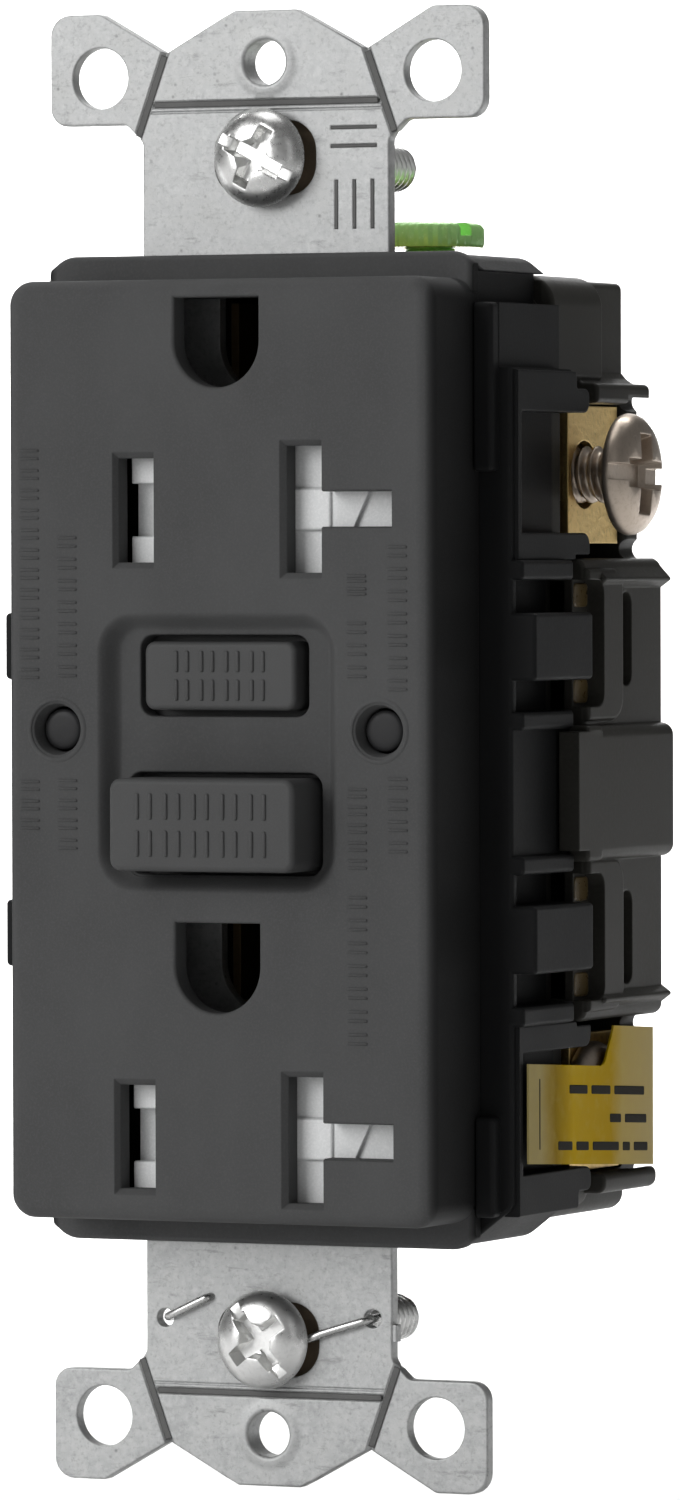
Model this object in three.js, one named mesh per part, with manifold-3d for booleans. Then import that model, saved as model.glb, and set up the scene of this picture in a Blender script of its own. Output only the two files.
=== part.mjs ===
// Ground-fault receptacle, 20 A duplex, decorator face, as an assembly of its separate pieces.
// Millimetres. X to the right, Y into the wall, Z up. The origin is on the rear (seating) plane
// of the mounting strap, midway between the two mounting screws.

import * as THREE from 'three';
import { mergeVertices } from 'three/addons/utils/BufferGeometryUtils.js';
import Module from 'manifold-3d';

const wasm = await Module();
wasm.setup();

// ---- driving dimensions -------------------------------------------------------------------

const SCREW_SPACING = 83.34;          // box screws, 3.281 in
const PLATE_SPACING = 96.84;          // wall-plate screws, 3.812 in
const STRAP_T = 1.0;
const STRAP_HALF_HEIGHT = 52.1;
const NECK_HALF = 9.6;
const EAR_HALF = 16.9;
const EAR_INNER_Z = 44.2;
const NOTCH = [7.8, 49.2];

const FACE_Y = -9.25;                 // front of the face cover
const FACE_HALF_W = 16.45;
const FACE_HALF_H = 33.0;
const FACE_WALL = 1.8;
const COVER_REAR_Y = -1.1;
const FLANGE_FRONT_Y = -2.0;
const DISH_Y = -7.92;                 // floor of the dished centre panel
const DISH_BACK_Y = -6.2;

const BODY_HALF_W = 18.9;
const BODY_HALF_H = 34.7;
const FLANGE_HALF_H = 34.9;
const CORNER_X = 3.6;
const CORNER_Z = 2.8;
const HOUSING_REAR_Y = 9.5;
const BACK_FRONT_Y = 9.8;
const BACK_REAR_Y = 24.0;
const BACK_WALL = 1.6;
const SIDE_Z = -3.0;                  // height about which the side features mirror

const UPPER = { ground: 28.7, blade: 16.88 };
const LOWER = { ground: -15.0, blade: -27.05 };
const BLADE_X = 6.4;
const TEST = { z: 5.27, w: 11.7, h: 4.8, open: [13.0, 5.7], frontY: -8.75 };
const RESET = { z: -5.1, w: 14.3, h: 6.5, open: [15.0, 7.2], frontY: -11.9 };
const LENS = { x: 12.45, z: 1.48, r: 1.45 };

const TERMINAL = { dz: 22.36, y: 15.3, plateX: 17.4, plateT: 0.9, shankR: 2.05, headR: 4.35 };
const UPPER_BOSS = { x: 12.6, z: 29.8, r: 2.9 };
const LOWER_BOSS = { x: 9.6, z: -31.2, r: 2.3 };
const BOARD = { y0: 19.8, y1: 21.2 };
const TOROID = { z: 21.2, outer: 7.2, inner: 3.6 };
const COIL = { y: 14.75, z0: -27.0, z1: -15.5 };
const SHUTTER_Y = [-7.2, -5.6];
const PLUNGER_R = 1.7;
const PIN_R = 1.2;
const LEDGE_Y = -1.0;                 // housing's ledge round the cover
const HOUSING_CAVITY = { halfW: 15.4, halfH: 32.4, frontY: 1.6 };
const BAY_EDGE = 16.6;                // terminal bays start here, from the mirror plane
const CORE_HALF_W = 12.3;             // back cover between its terminal bays
const END_HALF_W = 16.65;             // back cover above and below the bays
const WEB = { x: 17.9, y: 21.5, hole: [14.2, 16.2] };
const UPPER_END_Z = [24.4, 33.5];
const LOWER_END_Z = [-33.55, -30.45];
const CLAMP_T = 1.2;
const CLAMP_X = { backedOut: 13.4, seated: 15.5 };
const SCREW_X = { backedOut: 20.4, seated: 17.45 };
const GROUND = { x: 6.5, y: 12.3, tabZ: 34.0, headZ: 35.6 };
const ARM = { y0: 10.2, y1: 10.8, rootZ: 19.9, tipZ: -8.2 };
const TRIP_Z = -6.0;                  // trip contacts on the strips and the arms
const TRIP_R = 1.2;
const STRIP_Y = [7.2, 8.0];
const LABEL = { side: 19.55, back: 24.25, t: 0.15, front: 0.3, bend: 2.2 };
const LABEL_Z = { low: -29.6, step: -22.6, high: -20.2 };

// ---- materials ----------------------------------------------------------------------------

const looks = {
  cover: [0x3c3e40, 0.62, 0], housing: [0x161717, 0.55, 0], back: [0x34332f, 0.45, 0],
  button: [0x3a3c3e, 0.6, 0], steel: [0xb9bcbd, 0.42, 0.85], zinc: [0xcfcfce, 0.28, 0.95],
  nickel: [0x8c8178, 0.3, 0.95], brass: [0xbe9b5a, 0.35, 0.95], green: [0x4fae48, 0.4, 0.6],
  lens: [0x2c2d2e, 0.2, 0], shutter: [0xb4b8b9, 0.5, 0], board: [0x2c5a34, 0.6, 0],
  ferrite: [0x3a3a3d, 0.6, 0.1], copper: [0xb46a3c, 0.35, 0.9], bobbin: [0xd8d4c4, 0.6, 0],
  blue: [0x2b4c8c, 0.45, 0], sleeve: [0x202124, 0.4, 0], label: [0xc9a52c, 0.5, 0],
  fibre: [0x6c5b48, 0.8, 0], spring: [0xa9aaa8, 0.3, 0.95],
};

const group = new THREE.Group();

function addPiece(name, solid, look) {
  const [color, roughness, metalness] = looks[look];
  const material = new THREE.MeshStandardMaterial({ color, roughness, metalness });
  const piece = new THREE.Mesh(toGeometry(solid), material);
  piece.name = name;
  group.add(piece);
  return piece;
}

// ---- solid helpers ------------------------------------------------------------------------

function toSolid(geometry) {
  const bare = geometry.clone();
  bare.deleteAttribute('normal');
  bare.deleteAttribute('uv');
  const merged = mergeVertices(bare, 1e-4);
  return new wasm.Manifold(new wasm.Mesh({
    numProp: 3,
    vertProperties: new Float32Array(merged.attributes.position.array),
    triVerts: new Uint32Array(merged.index.array),
  }));
}

function toGeometry(solid) {
  const mesh = solid.getMesh();
  const geometry = new THREE.BufferGeometry();
  geometry.setAttribute('position', new THREE.BufferAttribute(mesh.vertProperties, 3));
  geometry.setIndex(new THREE.BufferAttribute(mesh.triVerts, 1));
  geometry.computeVertexNormals();
  return geometry;
}

const join = (...solids) => solids.reduce((a, b) => a.add(b));
const cut = (solid, ...tools) => tools.reduce((a, b) => a.subtract(b), solid);
const span = (side, a, b) => (side > 0 ? [a, b] : [-b, -a]);

function box(x0, x1, y0, y1, z0, z1) {
  const geometry = new THREE.BoxGeometry(x1 - x0, y1 - y0, z1 - z0);
  geometry.translate((x0 + x1) / 2, (y0 + y1) / 2, (z0 + z1) / 2);
  return toSolid(geometry);
}

const sideBox = (side, x0, x1, y0, y1, z0, z1) => box(...span(side, x0, x1), y0, y1, z0, z1);

// Cylinders along the three axes; a and b are the ends, the two numbers before them the centre.
function rodY(radius, x, z, a, b, segments = 24) {
  const geometry = new THREE.CylinderGeometry(radius, radius, b - a, segments);
  geometry.translate(x, (a + b) / 2, z);
  return toSolid(geometry);
}

function rodX(radius, y, z, a, b, segments = 24) {
  const geometry = new THREE.CylinderGeometry(radius, radius, b - a, segments);
  geometry.rotateZ(-Math.PI / 2);
  geometry.translate((a + b) / 2, y, z);
  return toSolid(geometry);
}

function rodZ(radius, x, y, a, b, segments = 24) {
  const geometry = new THREE.CylinderGeometry(radius, radius, b - a, segments);
  geometry.rotateX(Math.PI / 2);
  geometry.translate(x, y, (a + b) / 2);
  return toSolid(geometry);
}

// An outline in X and Z, extruded along Y from y0 to y1.
function plate(shape, y0, y1, curveSegments = 2) {
  const geometry = new THREE.ExtrudeGeometry(shape, {
    depth: y1 - y0, bevelEnabled: false, curveSegments,
  });
  geometry.rotateX(Math.PI / 2);
  geometry.translate(0, y1, 0);
  return toSolid(geometry);
}

// As plate, with both ends rounded over by the given radius, inside the outline.
function softPlate(shape, y0, y1, radius, bevelSegments = 3, curveSegments = 2) {
  const geometry = new THREE.ExtrudeGeometry(shape, {
    depth: y1 - y0 - 2 * radius, bevelEnabled: true, bevelThickness: radius,
    bevelSize: radius, bevelOffset: -radius, bevelSegments, curveSegments,
  });
  geometry.rotateX(Math.PI / 2);
  geometry.translate(0, y1 - radius, 0);
  return toSolid(geometry);
}

function roundedRect(x, z, w, h, r) {
  const shape = new THREE.Shape();
  const [l, b] = [x - w / 2, z - h / 2];
  shape.moveTo(l + r, b);
  shape.lineTo(l + w - r, b);
  shape.absarc(l + w - r, b + r, r, -Math.PI / 2, 0);
  shape.lineTo(l + w, b + h - r);
  shape.absarc(l + w - r, b + h - r, r, 0, Math.PI / 2);
  shape.lineTo(l + r, b + h);
  shape.absarc(l + r, b + h - r, r, Math.PI / 2, Math.PI);
  shape.lineTo(l, b + r);
  shape.absarc(l + r, b + r, r, Math.PI, 1.5 * Math.PI);
  return shape;
}

// Closed polygon whose corners are rounded, each point as [x, z, radius].
function roundedPolygon(points) {
  const shape = new THREE.Shape();
  const count = points.length;
  points.forEach(([x, z, r = 0], i) => {
    const here = new THREE.Vector2(x, z);
    const before = new THREE.Vector2(...points[(i + count - 1) % count]);
    const after = new THREE.Vector2(...points[(i + 1) % count]);
    const enter = before.sub(here).setLength(r).add(here);
    const leave = after.sub(here).setLength(r).add(here);
    if (i === 0) shape.moveTo(enter.x, enter.y);
    else shape.lineTo(enter.x, enter.y);
    if (r > 0) shape.quadraticCurveTo(x, z, leave.x, leave.y);
  });
  shape.closePath();
  return shape;
}

// Revolved about the Y axis: profile points are [radius, y], from the axis and back to it.
function turned(profile, x, z, segments = 24) {
  const points = profile.map(([r, y]) => new THREE.Vector2(r, y));
  const geometry = new THREE.LatheGeometry(points, segments);
  geometry.translate(x, 0, z);
  return toSolid(geometry);
}

class Helix extends THREE.Curve {
  constructor(radius, length, turns) {
    super();
    Object.assign(this, { radius, length, turns });
  }

  getPoint(t, target = new THREE.Vector3()) {
    const angle = t * this.turns * 2 * Math.PI;
    const { radius, length } = this;
    return target.set(radius * Math.cos(angle), radius * Math.sin(angle), t * length);
  }
}

// A round wire swept along a curve.
function wire(curve, radius, steps, sides = 2) {
  const section = new THREE.Shape();
  section.absarc(0, 0, radius, 0, 2 * Math.PI);
  return new THREE.ExtrudeGeometry(section, {
    steps, extrudePath: curve, curveSegments: sides,
  });
}

// ---- face cover ---------------------------------------------------------------------------

function bodyOutline(halfW, halfH, round) {
  const corner = [];
  for (const [sx, sz] of [[1, -1], [1, 1], [-1, 1], [-1, -1]]) {
    const low = [sx * halfW, sz * (halfH - CORNER_Z), round];
    const high = [sx * (halfW - CORNER_X), sz * halfH, round];
    corner.push(...(sx * sz < 0 ? [high, low] : [low, high]));
  }
  return roundedPolygon(corner);
}

// The ground socket: flat above, round below.
function groundSocket(z, halfW, top) {
  const shape = new THREE.Shape();
  const centre = z - 0.05;
  shape.moveTo(halfW, centre);
  shape.lineTo(halfW, z + top);
  shape.lineTo(-halfW, z + top);
  shape.lineTo(-halfW, centre);
  shape.absarc(0, centre, halfW, Math.PI, 2 * Math.PI);
  return shape;
}

// The hot slot and the T-shaped neutral slot of one receptacle, grown by a margin.
function bladeSlots(z, y0, y1, margin = 0) {
  const m = margin;
  return join(
    box(-7.7 - m, -5.05 + m, y0, y1, z - 3.75 - m, z + 3.75 + m),
    box(5.3 - m, 8.05 + m, y0, y1, z - 4.45 - m, z + 4.45 + m),
    box(7.9, 13.4 + m, y0, y1, z - 1.25 - m, z + 1.25 + m),
  );
}

function faceCover() {
  const outline = roundedRect(0, 0, 2 * FACE_HALF_W, 2 * FACE_HALF_H, 1.6);
  const block = softPlate(outline, FACE_Y, 1.0, 1.3).subtract(box(-20, 20, COVER_REAR_Y, 2, -36, 36));
  const sheet = plate(bodyOutline(BODY_HALF_W, FLANGE_HALF_H, 0.9), FLANGE_FRONT_Y, COVER_REAR_Y);
  const rim = cut(
    sheet,
    box(-20, 20, -3, 0, -32, 32),
    ...[[-1, -1], [-1, 1], [1, -1], [1, 1]].map(([sx, sz]) => (
      box(...span(sx, FACE_HALF_W + 0.01, 20), -3, 0, ...span(sz, 30, 33.6))
    )),
  );
  const hollow = cut(
    plate(roundedRect(0, 0, 29.7, 63.6, 1.0), FACE_Y + FACE_WALL, 0),
    plate(roundedRect(0, 0, 21.6, 22.8, 1.5), FACE_Y, DISH_BACK_Y),
  );
  const dish = plate(roundedRect(0, -0.05, 18.65, 19.6, 2.6), FACE_Y - 1, DISH_Y);
  const front = FACE_Y - 1;
  const inside = FACE_Y + FACE_WALL + 0.1;
  return cut(
    block.add(rim),
    hollow,
    dish,
    plate(roundedRect(0, TEST.z, ...TEST.open, 0.9), front, DISH_BACK_Y + 0.1),
    plate(roundedRect(0, RESET.z, ...RESET.open, 1.0), front, DISH_BACK_Y + 0.1),
    ...[UPPER, LOWER].flatMap(({ ground, blade }) => [
      plate(groundSocket(ground, 3.25, 3.0), front, inside, 5),
      bladeSlots(blade, front, inside),
      // room in the side wall for the shutter's arm
      box(14, 15.7, -7.5, -5.0, blade - 1.7, blade + 1.7),
    ]),
    ...[-1, 1].flatMap((side) => [
      rodY(2.0, side * LENS.x, LENS.z, front, FACE_Y + 1.0),
      rodY(LENS.r + 0.15, side * LENS.x, LENS.z, front, inside),
    ]),
  );
}

// ---- mounting strap -----------------------------------------------------------------------

function strapOutline() {
  const quarter = [
    [NECK_HALF, 0, 0], [NECK_HALF, 42.9, 0.8], [10.9, EAR_INNER_Z, 0.8],
    [EAR_HALF, EAR_INNER_Z, 1.3], [EAR_HALF, STRAP_HALF_HEIGHT, 1.5],
    [12.9, STRAP_HALF_HEIGHT, 0.8], [...NOTCH, 0.5], [3.4, 51.6, 0.5], [2.4, STRAP_HALF_HEIGHT, 0.4],
  ];
  const mirror = (sx, sz) => quarter.map(([x, z, r]) => [sx * x, sz * z, r]);
  return roundedPolygon([
    ...mirror(1, 1), ...mirror(-1, 1).reverse(),
    ...mirror(-1, -1).slice(1), ...mirror(1, -1).slice(1).reverse(),
  ]);
}

// A shallow square-section score line between two points, centred on the plane y.
function score(x0, z0, x1, z1, y, width = 0.6, depth = 0.28) {
  const length = Math.hypot(x1 - x0, z1 - z0);
  const geometry = new THREE.BoxGeometry(length, 2 * depth, width);
  geometry.rotateY(-Math.atan2(z1 - z0, x1 - x0));
  geometry.translate((x0 + x1) / 2, y, (z0 + z1) / 2);
  return toSolid(geometry);
}

function mountingStrap() {
  const y0 = -STRAP_T - 0.5;
  const y1 = 2;
  const ends = [-1, 1].flatMap((sz) => [
    plate(roundedRect(0, sz * SCREW_SPACING / 2, 7.9, 5.3, 2.2), y0, y1),
    rodY(1.6, 0, sz * PLATE_SPACING / 2, y0, y1, 16),
    score(-NECK_HALF - 1, sz * 45.57, NECK_HALF + 1, sz * 45.57, -STRAP_T),
    ...[-1, 1].flatMap((sx) => [
      rodY(2.17, sx * 12.95, sz * 47.55, y0, y1, 20),
      score(sx * 7.5, sz * 50.0, sx * 10.2, sz * 42.6, -STRAP_T),
      score(sx * 7.5, sz * 50.0, sx * 10.2, sz * 42.6, 0),
    ]),
  ]);
  const windows = [UPPER, LOWER].flatMap(({ ground, blade }) => [
    plate(groundSocket(ground, 3.6, 3.4), y0, y1, 4),
    box(-8.3, -4.5, y0, y1, blade - 4.6, blade + 4.6),
    box(4.7, 12, y0, y1, blade - 5.2, blade + 5.2),
  ]);
  const collars = [-1, 1].map((sz) => rodY(2.3, 0, sz * PLATE_SPACING / 2, -0.1, 0.8, 16));
  return cut(
    plate(strapOutline(), -STRAP_T, 0, 3).add(join(...collars)),
    ...ends,
    ...windows,
    plate(roundedRect(0, 0, 15.8, 19.4, 1.0), y0, y1),
    rodY(0.65, -8.1, -40.4, y0, y1, 12),
    rodY(0.65, 8.1, -40.0, y0, y1, 12),
  );
}

// A thin wire that goes through the strap on the left, round the screw's shank, and back
// through the strap on the right.
function groundWireClip() {
  const front = -STRAP_T - 0.36;
  const z = -SCREW_SPACING / 2;
  const route = new THREE.CatmullRomCurve3([
    new THREE.Vector3(-8.1, 1.6, -40.4),
    new THREE.Vector3(-8.1, 0.2, -40.4),
    new THREE.Vector3(-7.85, front + 0.35, -40.3),
    new THREE.Vector3(-7.1, front, -40.0),
    new THREE.Vector3(-4.8, front, -38.9),
    new THREE.Vector3(-2.6, front, z + 2.15),
    new THREE.Vector3(0, front, z + 2.35),
    new THREE.Vector3(2.6, front, z + 1.6),
    new THREE.Vector3(4.2, front, -41.2),
    new THREE.Vector3(7.1, front, -40.3),
    new THREE.Vector3(7.85, front + 0.35, -40.08),
    new THREE.Vector3(8.1, 0.2, -40.0),
    new THREE.Vector3(8.1, 1.6, -40.0),
  ], false, 'centripetal');
  return toSolid(wire(route, 0.27, 34, 3));
}

// ---- screws -------------------------------------------------------------------------------

// Truss-head screw, axis +Y, with its slot; the head's underside is at headY.
function trussScrew(x, z, headY, tipY) {
  const head = 1.75;
  const profile = [
    [0, tipY], [1.2, tipY], [1.7, tipY - 0.7], [1.7, headY], [3.3, headY], [3.5, headY - 0.3],
    [3.3, headY - 0.8], [2.6, headY - 1.35], [1.4, headY - 1.68], [0, headY - head],
  ];
  return cut(
    turned(profile.reverse(), x, z, 20),
    box(x - 3.8, x + 3.8, headY - 2.5, headY - 0.95, z - 0.45, z + 0.45),
    box(x - 0.55, x + 0.55, headY - 2.5, headY - 0.75, z - 1.7, z + 1.7),
  );
}

// Terminal screw, drawn with its axis along local +Y towards the thread's tip, head at y = 0.
function terminalScrew(length) {
  const { headR, shankR } = TERMINAL;
  const profile = [
    [0, length], [1.5, length], [shankR, length - 0.6], [shankR, 0], [headR - 0.15, 0],
    [headR, -0.35], [headR - 0.2, -0.8], [3.3, -1.45], [1.8, -1.82], [0, -1.9],
  ];
  return cut(
    turned(profile.reverse(), 0, 0, 18),
    box(-4.6, 4.6, -2.5, -1.0, -0.5, 0.5),
    box(-0.6, 0.6, -2.5, -0.8, -2.0, 2.0),
  );
}

// ---- front housing ------------------------------------------------------------------------

// Heights h are measured from the side features' mirror plane, so each pair has one line.
function mirroredBox(side, x0, x1, y0, y1, h0, h1) {
  return [
    sideBox(side, x0, x1, y0, y1, SIDE_Z + h0, SIDE_Z + h1),
    sideBox(side, x0, x1, y0, y1, SIDE_Z - h1, SIDE_Z - h0),
  ];
}

function housingBosses(extraR = 0, y0 = 1.5, y1 = 9.4) {
  return [-1, 1].flatMap((sx) => [
    rodY(UPPER_BOSS.r + extraR, sx * UPPER_BOSS.x, UPPER_BOSS.z, y0, y1, 14),
    rodY(LOWER_BOSS.r + extraR, sx * LOWER_BOSS.x, LOWER_BOSS.z, y0, y1, 14),
  ]);
}

function screwHoles(radius, y0, y1) {
  return [-1, 1].flatMap((sx) => [
    rodY(radius, sx * UPPER_BOSS.x, UPPER_BOSS.z, y0, y1, 12),
    rodY(radius, sx * LOWER_BOSS.x, LOWER_BOSS.z, y0, y1, 12),
  ]);
}

function frontHousing() {
  const rear = HOUSING_REAR_Y;
  const block = plate(bodyOutline(BODY_HALF_W, BODY_HALF_H, 0.9), LEDGE_Y, rear);
  const added = [];
  const removed = [];
  for (const side of [-1, 1]) {
    const pair = (...range) => mirroredBox(side, ...range);
    removed.push(
      ...pair(16.9, 22, LEDGE_Y + 0.7, rear + 1, 5.7, 7.87),
      ...pair(16.9, 22, LEDGE_Y + 0.7, rear + 1, 12.61, 14.9),
      // terminal recess and the stepped-in sides beyond the lugs
      ...pair(17.4, 22, LEDGE_Y + 0.75, rear + 1, 18.2, 26.7),
      sideBox(side, 17.98, 22, LEDGE_Y - 1, rear + 1, 26.75, 31.3),
      // notches between the ribs and the end walls
      sideBox(side, 16.0, 22, LEDGE_Y - 1, rear + 1, 31.3, 33.5),
      sideBox(side, 17.9, 22, LEDGE_Y - 1, rear + 1, -34, -33.1),
    );
    added.push(
      ...pair(18.5, 20.7, LEDGE_Y, 9.2, 7.87, 12.61),
      ...pair(18.5, 19.75, LEDGE_Y, 8.0, 4.4, 5.7),
      ...pair(18.5, 19.75, LEDGE_Y, 8.0, 14.9, 16.3),
      ...pair(17.45, 19.2, LEDGE_Y + 0.5, 9.6, 16.3, 18.2),
      ...pair(17.45, 19.2, 9.4, 12.1, 16.85, 18.2),
      ...pair(17.45, 19.2, LEDGE_Y + 0.5, 12.1, 26.7, 29.6),
      ...pair(17.3, 19.2, LEDGE_Y + 0.5, LEDGE_Y + 1.1, 16.3, 29.6),
      sideBox(side, 16.6, 17.95, LEDGE_Y - 1.2, 1, 19.5, 31.3),
      sideBox(side, 16.6, 17.95, LEDGE_Y - 1.2, 1, -32.6, -25.6),
    );
  }
  const { halfW, halfH, frontY } = HOUSING_CAVITY;
  const cavity = cut(box(-halfW, halfW, frontY, rear + 1, -halfH, halfH), ...housingBosses());
  const openings = [UPPER, LOWER].flatMap(({ ground, blade }) => [
    box(-3.7, 3.7, -1, 2, ground - 3.4, ground + 3.4),
    bladeSlots(blade, -1.2, 2, 0.6),
  ]);
  return cut(
    join(block, ...added),
    ...removed.map((tool) => cut(tool, ...added)),
    // channel for the strap
    box(-NECK_HALF - 0.25, NECK_HALF + 0.25, -2, 0.04, -36, 36),
    cavity,
    ...openings,
    // seat of the grounding terminal on top
    box(2.2, 10.8, -2, rear + 1, 33.8, 36),
    box(-2.1, 2.1, -1, 2, TEST.z - 1.6, TEST.z + 1.6),
    rodY(1.55, 0, RESET.z, -1, 2),
    ...[-1, 1].map((sx) => rodY(1.75, sx * LENS.x, LENS.z, -2, 2, 12)),
    ...screwHoles(1.4, 2.4, rear + 1),
  );
}

function separator() {
  const sheet = plate(roundedRect(0, 0, 30.4, 64.4, 1.0), 8.45, 9.35);
  return cut(
    sheet,
    ...housingBosses(0.3, 8, 10),
    rodY(1.6, 0, RESET.z, 8, 10),
    ...[-1, 1].flatMap((sx) => [
      rodY(2.0, sx * BLADE_X, TRIP_Z, 8, 10, 12),
      rodY(1.75, sx * LENS.x, LENS.z, 8, 10, 12),
    ]),
  );
}

// ---- back cover ---------------------------------------------------------------------------

function backCover() {
  const rear = BACK_REAR_Y;
  const front = BACK_FRONT_Y;
  const mid = 2 * BAY_EDGE - 0.4;
  const [upper0, upper1] = UPPER_END_Z;
  const [lower0, lower1] = LOWER_END_Z;
  const outer = join(
    plate(roundedRect(0, 0, 34.4, 67.0, 4.2), front, 11.6),
    plate(roundedRect(0, 0, 2 * CORE_HALF_W, 67.0, 1.0), front, rear),
    plate(roundedRect(0, (upper0 + upper1) / 2, 2 * END_HALF_W, upper1 - upper0, 2.0), front, rear),
    plate(roundedRect(0, (lower0 + lower1) / 2, 2 * END_HALF_W, lower1 - lower0, 1.2), front, rear),
    plate(roundedRect(0, SIDE_Z, 39.5, mid, 0.8), front, rear),
  );
  const shelves = [
    plate(roundedRect(0, 25.15, 37.6, 1.5, 0.7), 14.5, rear),
    plate(roundedRect(0, -31.15, 38.4, 1.5, 0.7), 14.5, rear),
    plate(roundedRect(0, SIDE_Z + BAY_EDGE - 0.8, 40.9, 1.6, 0.7), 11.9, rear),
    plate(roundedRect(0, SIDE_Z - BAY_EDGE + 0.8, 40.9, 1.6, 0.7), 11.9, rear),
    plate(roundedRect(0, -3.2, 41.4, 9.6, 0.8), front, rear),
    ...[-1, 1].map((side) => sideBox(side, 19.15, 20.7, 6.6, front + 1, -7.2, 1.2)),
    ...[-1, 1].map((side) => sideBox(side, 19.15, 20.7, 8.3, front + 1, -8.0, 1.6)),
    // webs that close the terminal bays towards the rear
    ...[-1, 1].flatMap((side) => mirroredBox(side, 11.5, WEB.x, WEB.y, rear - 0.2, 15.9, 28.3)),
  ];
  const wall = BACK_WALL;
  const hollow = join(
    plate(roundedRect(0, 0, 34.4 - 2 * wall, 67.0 - 2 * wall, 3.0), front - 1, 11.6 - 1.2),
    plate(roundedRect(0, 0, 2 * (CORE_HALF_W - wall), 67.0 - 2 * wall, 0.6), front - 1, rear - wall),
    box(-15.05, 15.05, front - 1, rear - wall, upper0 + wall, upper1 - wall),
    box(-18.15, 18.15, front - 1, rear - wall, SIDE_Z - mid / 2 + wall, SIDE_Z + mid / 2 - wall),
  );
  const bosses = [-1, 1].flatMap((sx) => [
    rodY(2.9, sx * UPPER_BOSS.x, UPPER_BOSS.z, front, rear - 1, 14),
    rodY(2.65, sx * LOWER_BOSS.x, LOWER_BOSS.z, front, rear - 1, 14),
  ]).map((boss) => boss.intersect(join(outer, ...shelves)));
  const sideCuts = [-1, 1].flatMap((side) => [
    // windows that clear the housing's snap blocks
    ...mirroredBox(side, 18.8, 22, front - 1, 12.5, 5.9, 14.9),
    // short vertical grooves
    ...mirroredBox(side, 19.25, 22, 16.0, 17.8, 7.3, 14.0),
    // slots for the terminals' inner tabs
    ...mirroredBox(side, 9, 13, 20.1, 21.4, 19.6, 25.1),
    // wire holes in the webs, in line with the gap between clamp and terminal
    ...mirroredBox(side, WEB.hole[0], WEB.hole[1], WEB.y - 0.1, rear + 1, 19.05, 21.05),
    ...mirroredBox(side, WEB.hole[0], WEB.hole[1], WEB.y - 0.1, rear + 1, 23.65, 25.65),
  ]);
  return cut(
    join(outer, ...shelves),
    hollow,
    ...sideCuts,
  ).add(join(...bosses)).subtract(join(
    ...screwHoles(1.45, front - 1, rear + 1),
    ...[-1, 1].flatMap((sx) => [
      rodY(2.45, sx * UPPER_BOSS.x, UPPER_BOSS.z, rear - 1.5, rear + 1, 12),
      rodY(2.2, sx * LOWER_BOSS.x, LOWER_BOSS.z, rear - 1.5, rear + 1, 12),
    ]),
    // notch for the green screw's tip, open at the front edge
    rodZ(2.8, GROUND.x, GROUND.y, 30, 36, 16),
  ));
}

// ---- terminals ----------------------------------------------------------------------------

// A terminal plate with its inner tab, on the right side, about z = 0.
function terminalPlate() {
  const { plateX, plateT, y } = TERMINAL;
  return cut(
    join(
      box(plateX - plateT, plateX, 12.35, 21.15, -4.9, 4.9),
      box(9.4, plateX - plateT + 0.1, 20.35, 21.15, -2.4, 2.4),
    ),
    rodX(2.45, y, 0, plateX - 2, plateX + 1, 20),
  );
}

function clampPlate() {
  const half = CLAMP_T / 2;
  return cut(
    box(-half, half, 12.6, 19.9, -4.4, 4.4),
    rodX(2.3, TERMINAL.y, 0, -2, 2, 20),
  );
}

function addTerminals() {
  const places = [
    ['line_neutral', 1, SIDE_Z + TERMINAL.dz, 'backedOut', 7.7],
    ['load_neutral', 1, SIDE_Z - TERMINAL.dz, 'seated', 4.9],
    ['line_hot', -1, SIDE_Z + TERMINAL.dz, 'backedOut', 7.7],
    ['load_hot', -1, SIDE_Z - TERMINAL.dz, 'seated', 4.9],
  ];
  for (const [name, side, z, state, length] of places) {
    const turn = side > 0 ? 0 : Math.PI;
    const metal = side > 0 ? 'nickel' : 'brass';
    const terminal = addPiece(`${name}_terminal`, terminalPlate(), 'brass');
    terminal.rotation.y = turn;
    terminal.position.z = z;
    const clamp = addPiece(`${name}_clamp_plate`, clampPlate(), 'spring');
    clamp.rotation.y = turn;
    clamp.position.set(side * CLAMP_X[state], 0, z);
    const screw = addPiece(`${name}_screw`, terminalScrew(length), metal);
    screw.rotation.z = side > 0 ? Math.PI / 2 : -Math.PI / 2;
    screw.position.set(side * SCREW_X[state], TERMINAL.y, z);
  }
}

// ---- grounding ----------------------------------------------------------------------------

function groundTerminal() {
  const z = GROUND.tabZ;
  return cut(
    join(
      box(2.6, 10.4, 0.9, 17.2, z, z + 0.9),
      box(2.6, 9.0, 0.06, 0.96, z, 37.2),
    ),
    rodZ(2.45, GROUND.x, GROUND.y, z - 1, z + 2, 20),
  );
}

function groundScrew() {
  const z = GROUND.headZ;
  const headR = 4.1;
  const profile = [
    [0, 30.4], [1.5, 30.4], [2.0, 31.1], [2.0, z], [headR, z], [headR, z + 0.3],
    [headR - 0.35, z + 1.75], [0, z + 1.75],
  ].map(([r, y]) => new THREE.Vector2(r, y));
  const geometry = new THREE.LatheGeometry(profile, 24);
  geometry.rotateX(Math.PI / 2);
  geometry.translate(GROUND.x, GROUND.y, 0);
  const { x, y } = GROUND;
  return cut(
    toSolid(geometry),
    box(x - 5, x + 5, y - 0.55, y + 0.55, z + 0.95, z + 3),
    box(x - 0.6, x + 0.6, y - 1.9, y + 1.9, z + 0.8, z + 3),
  );
}

// U-shaped spring contact behind a ground socket.
function groundContact(z) {
  return box(-3.2, 3.2, 0.06, 7.8, z - 2.8, z + 2.8).subtract(
    box(-2.6, 2.6, -1, 7.0, z - 4, z + 4),
  );
}

// ---- receptacle contacts and line arms ----------------------------------------------------

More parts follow.
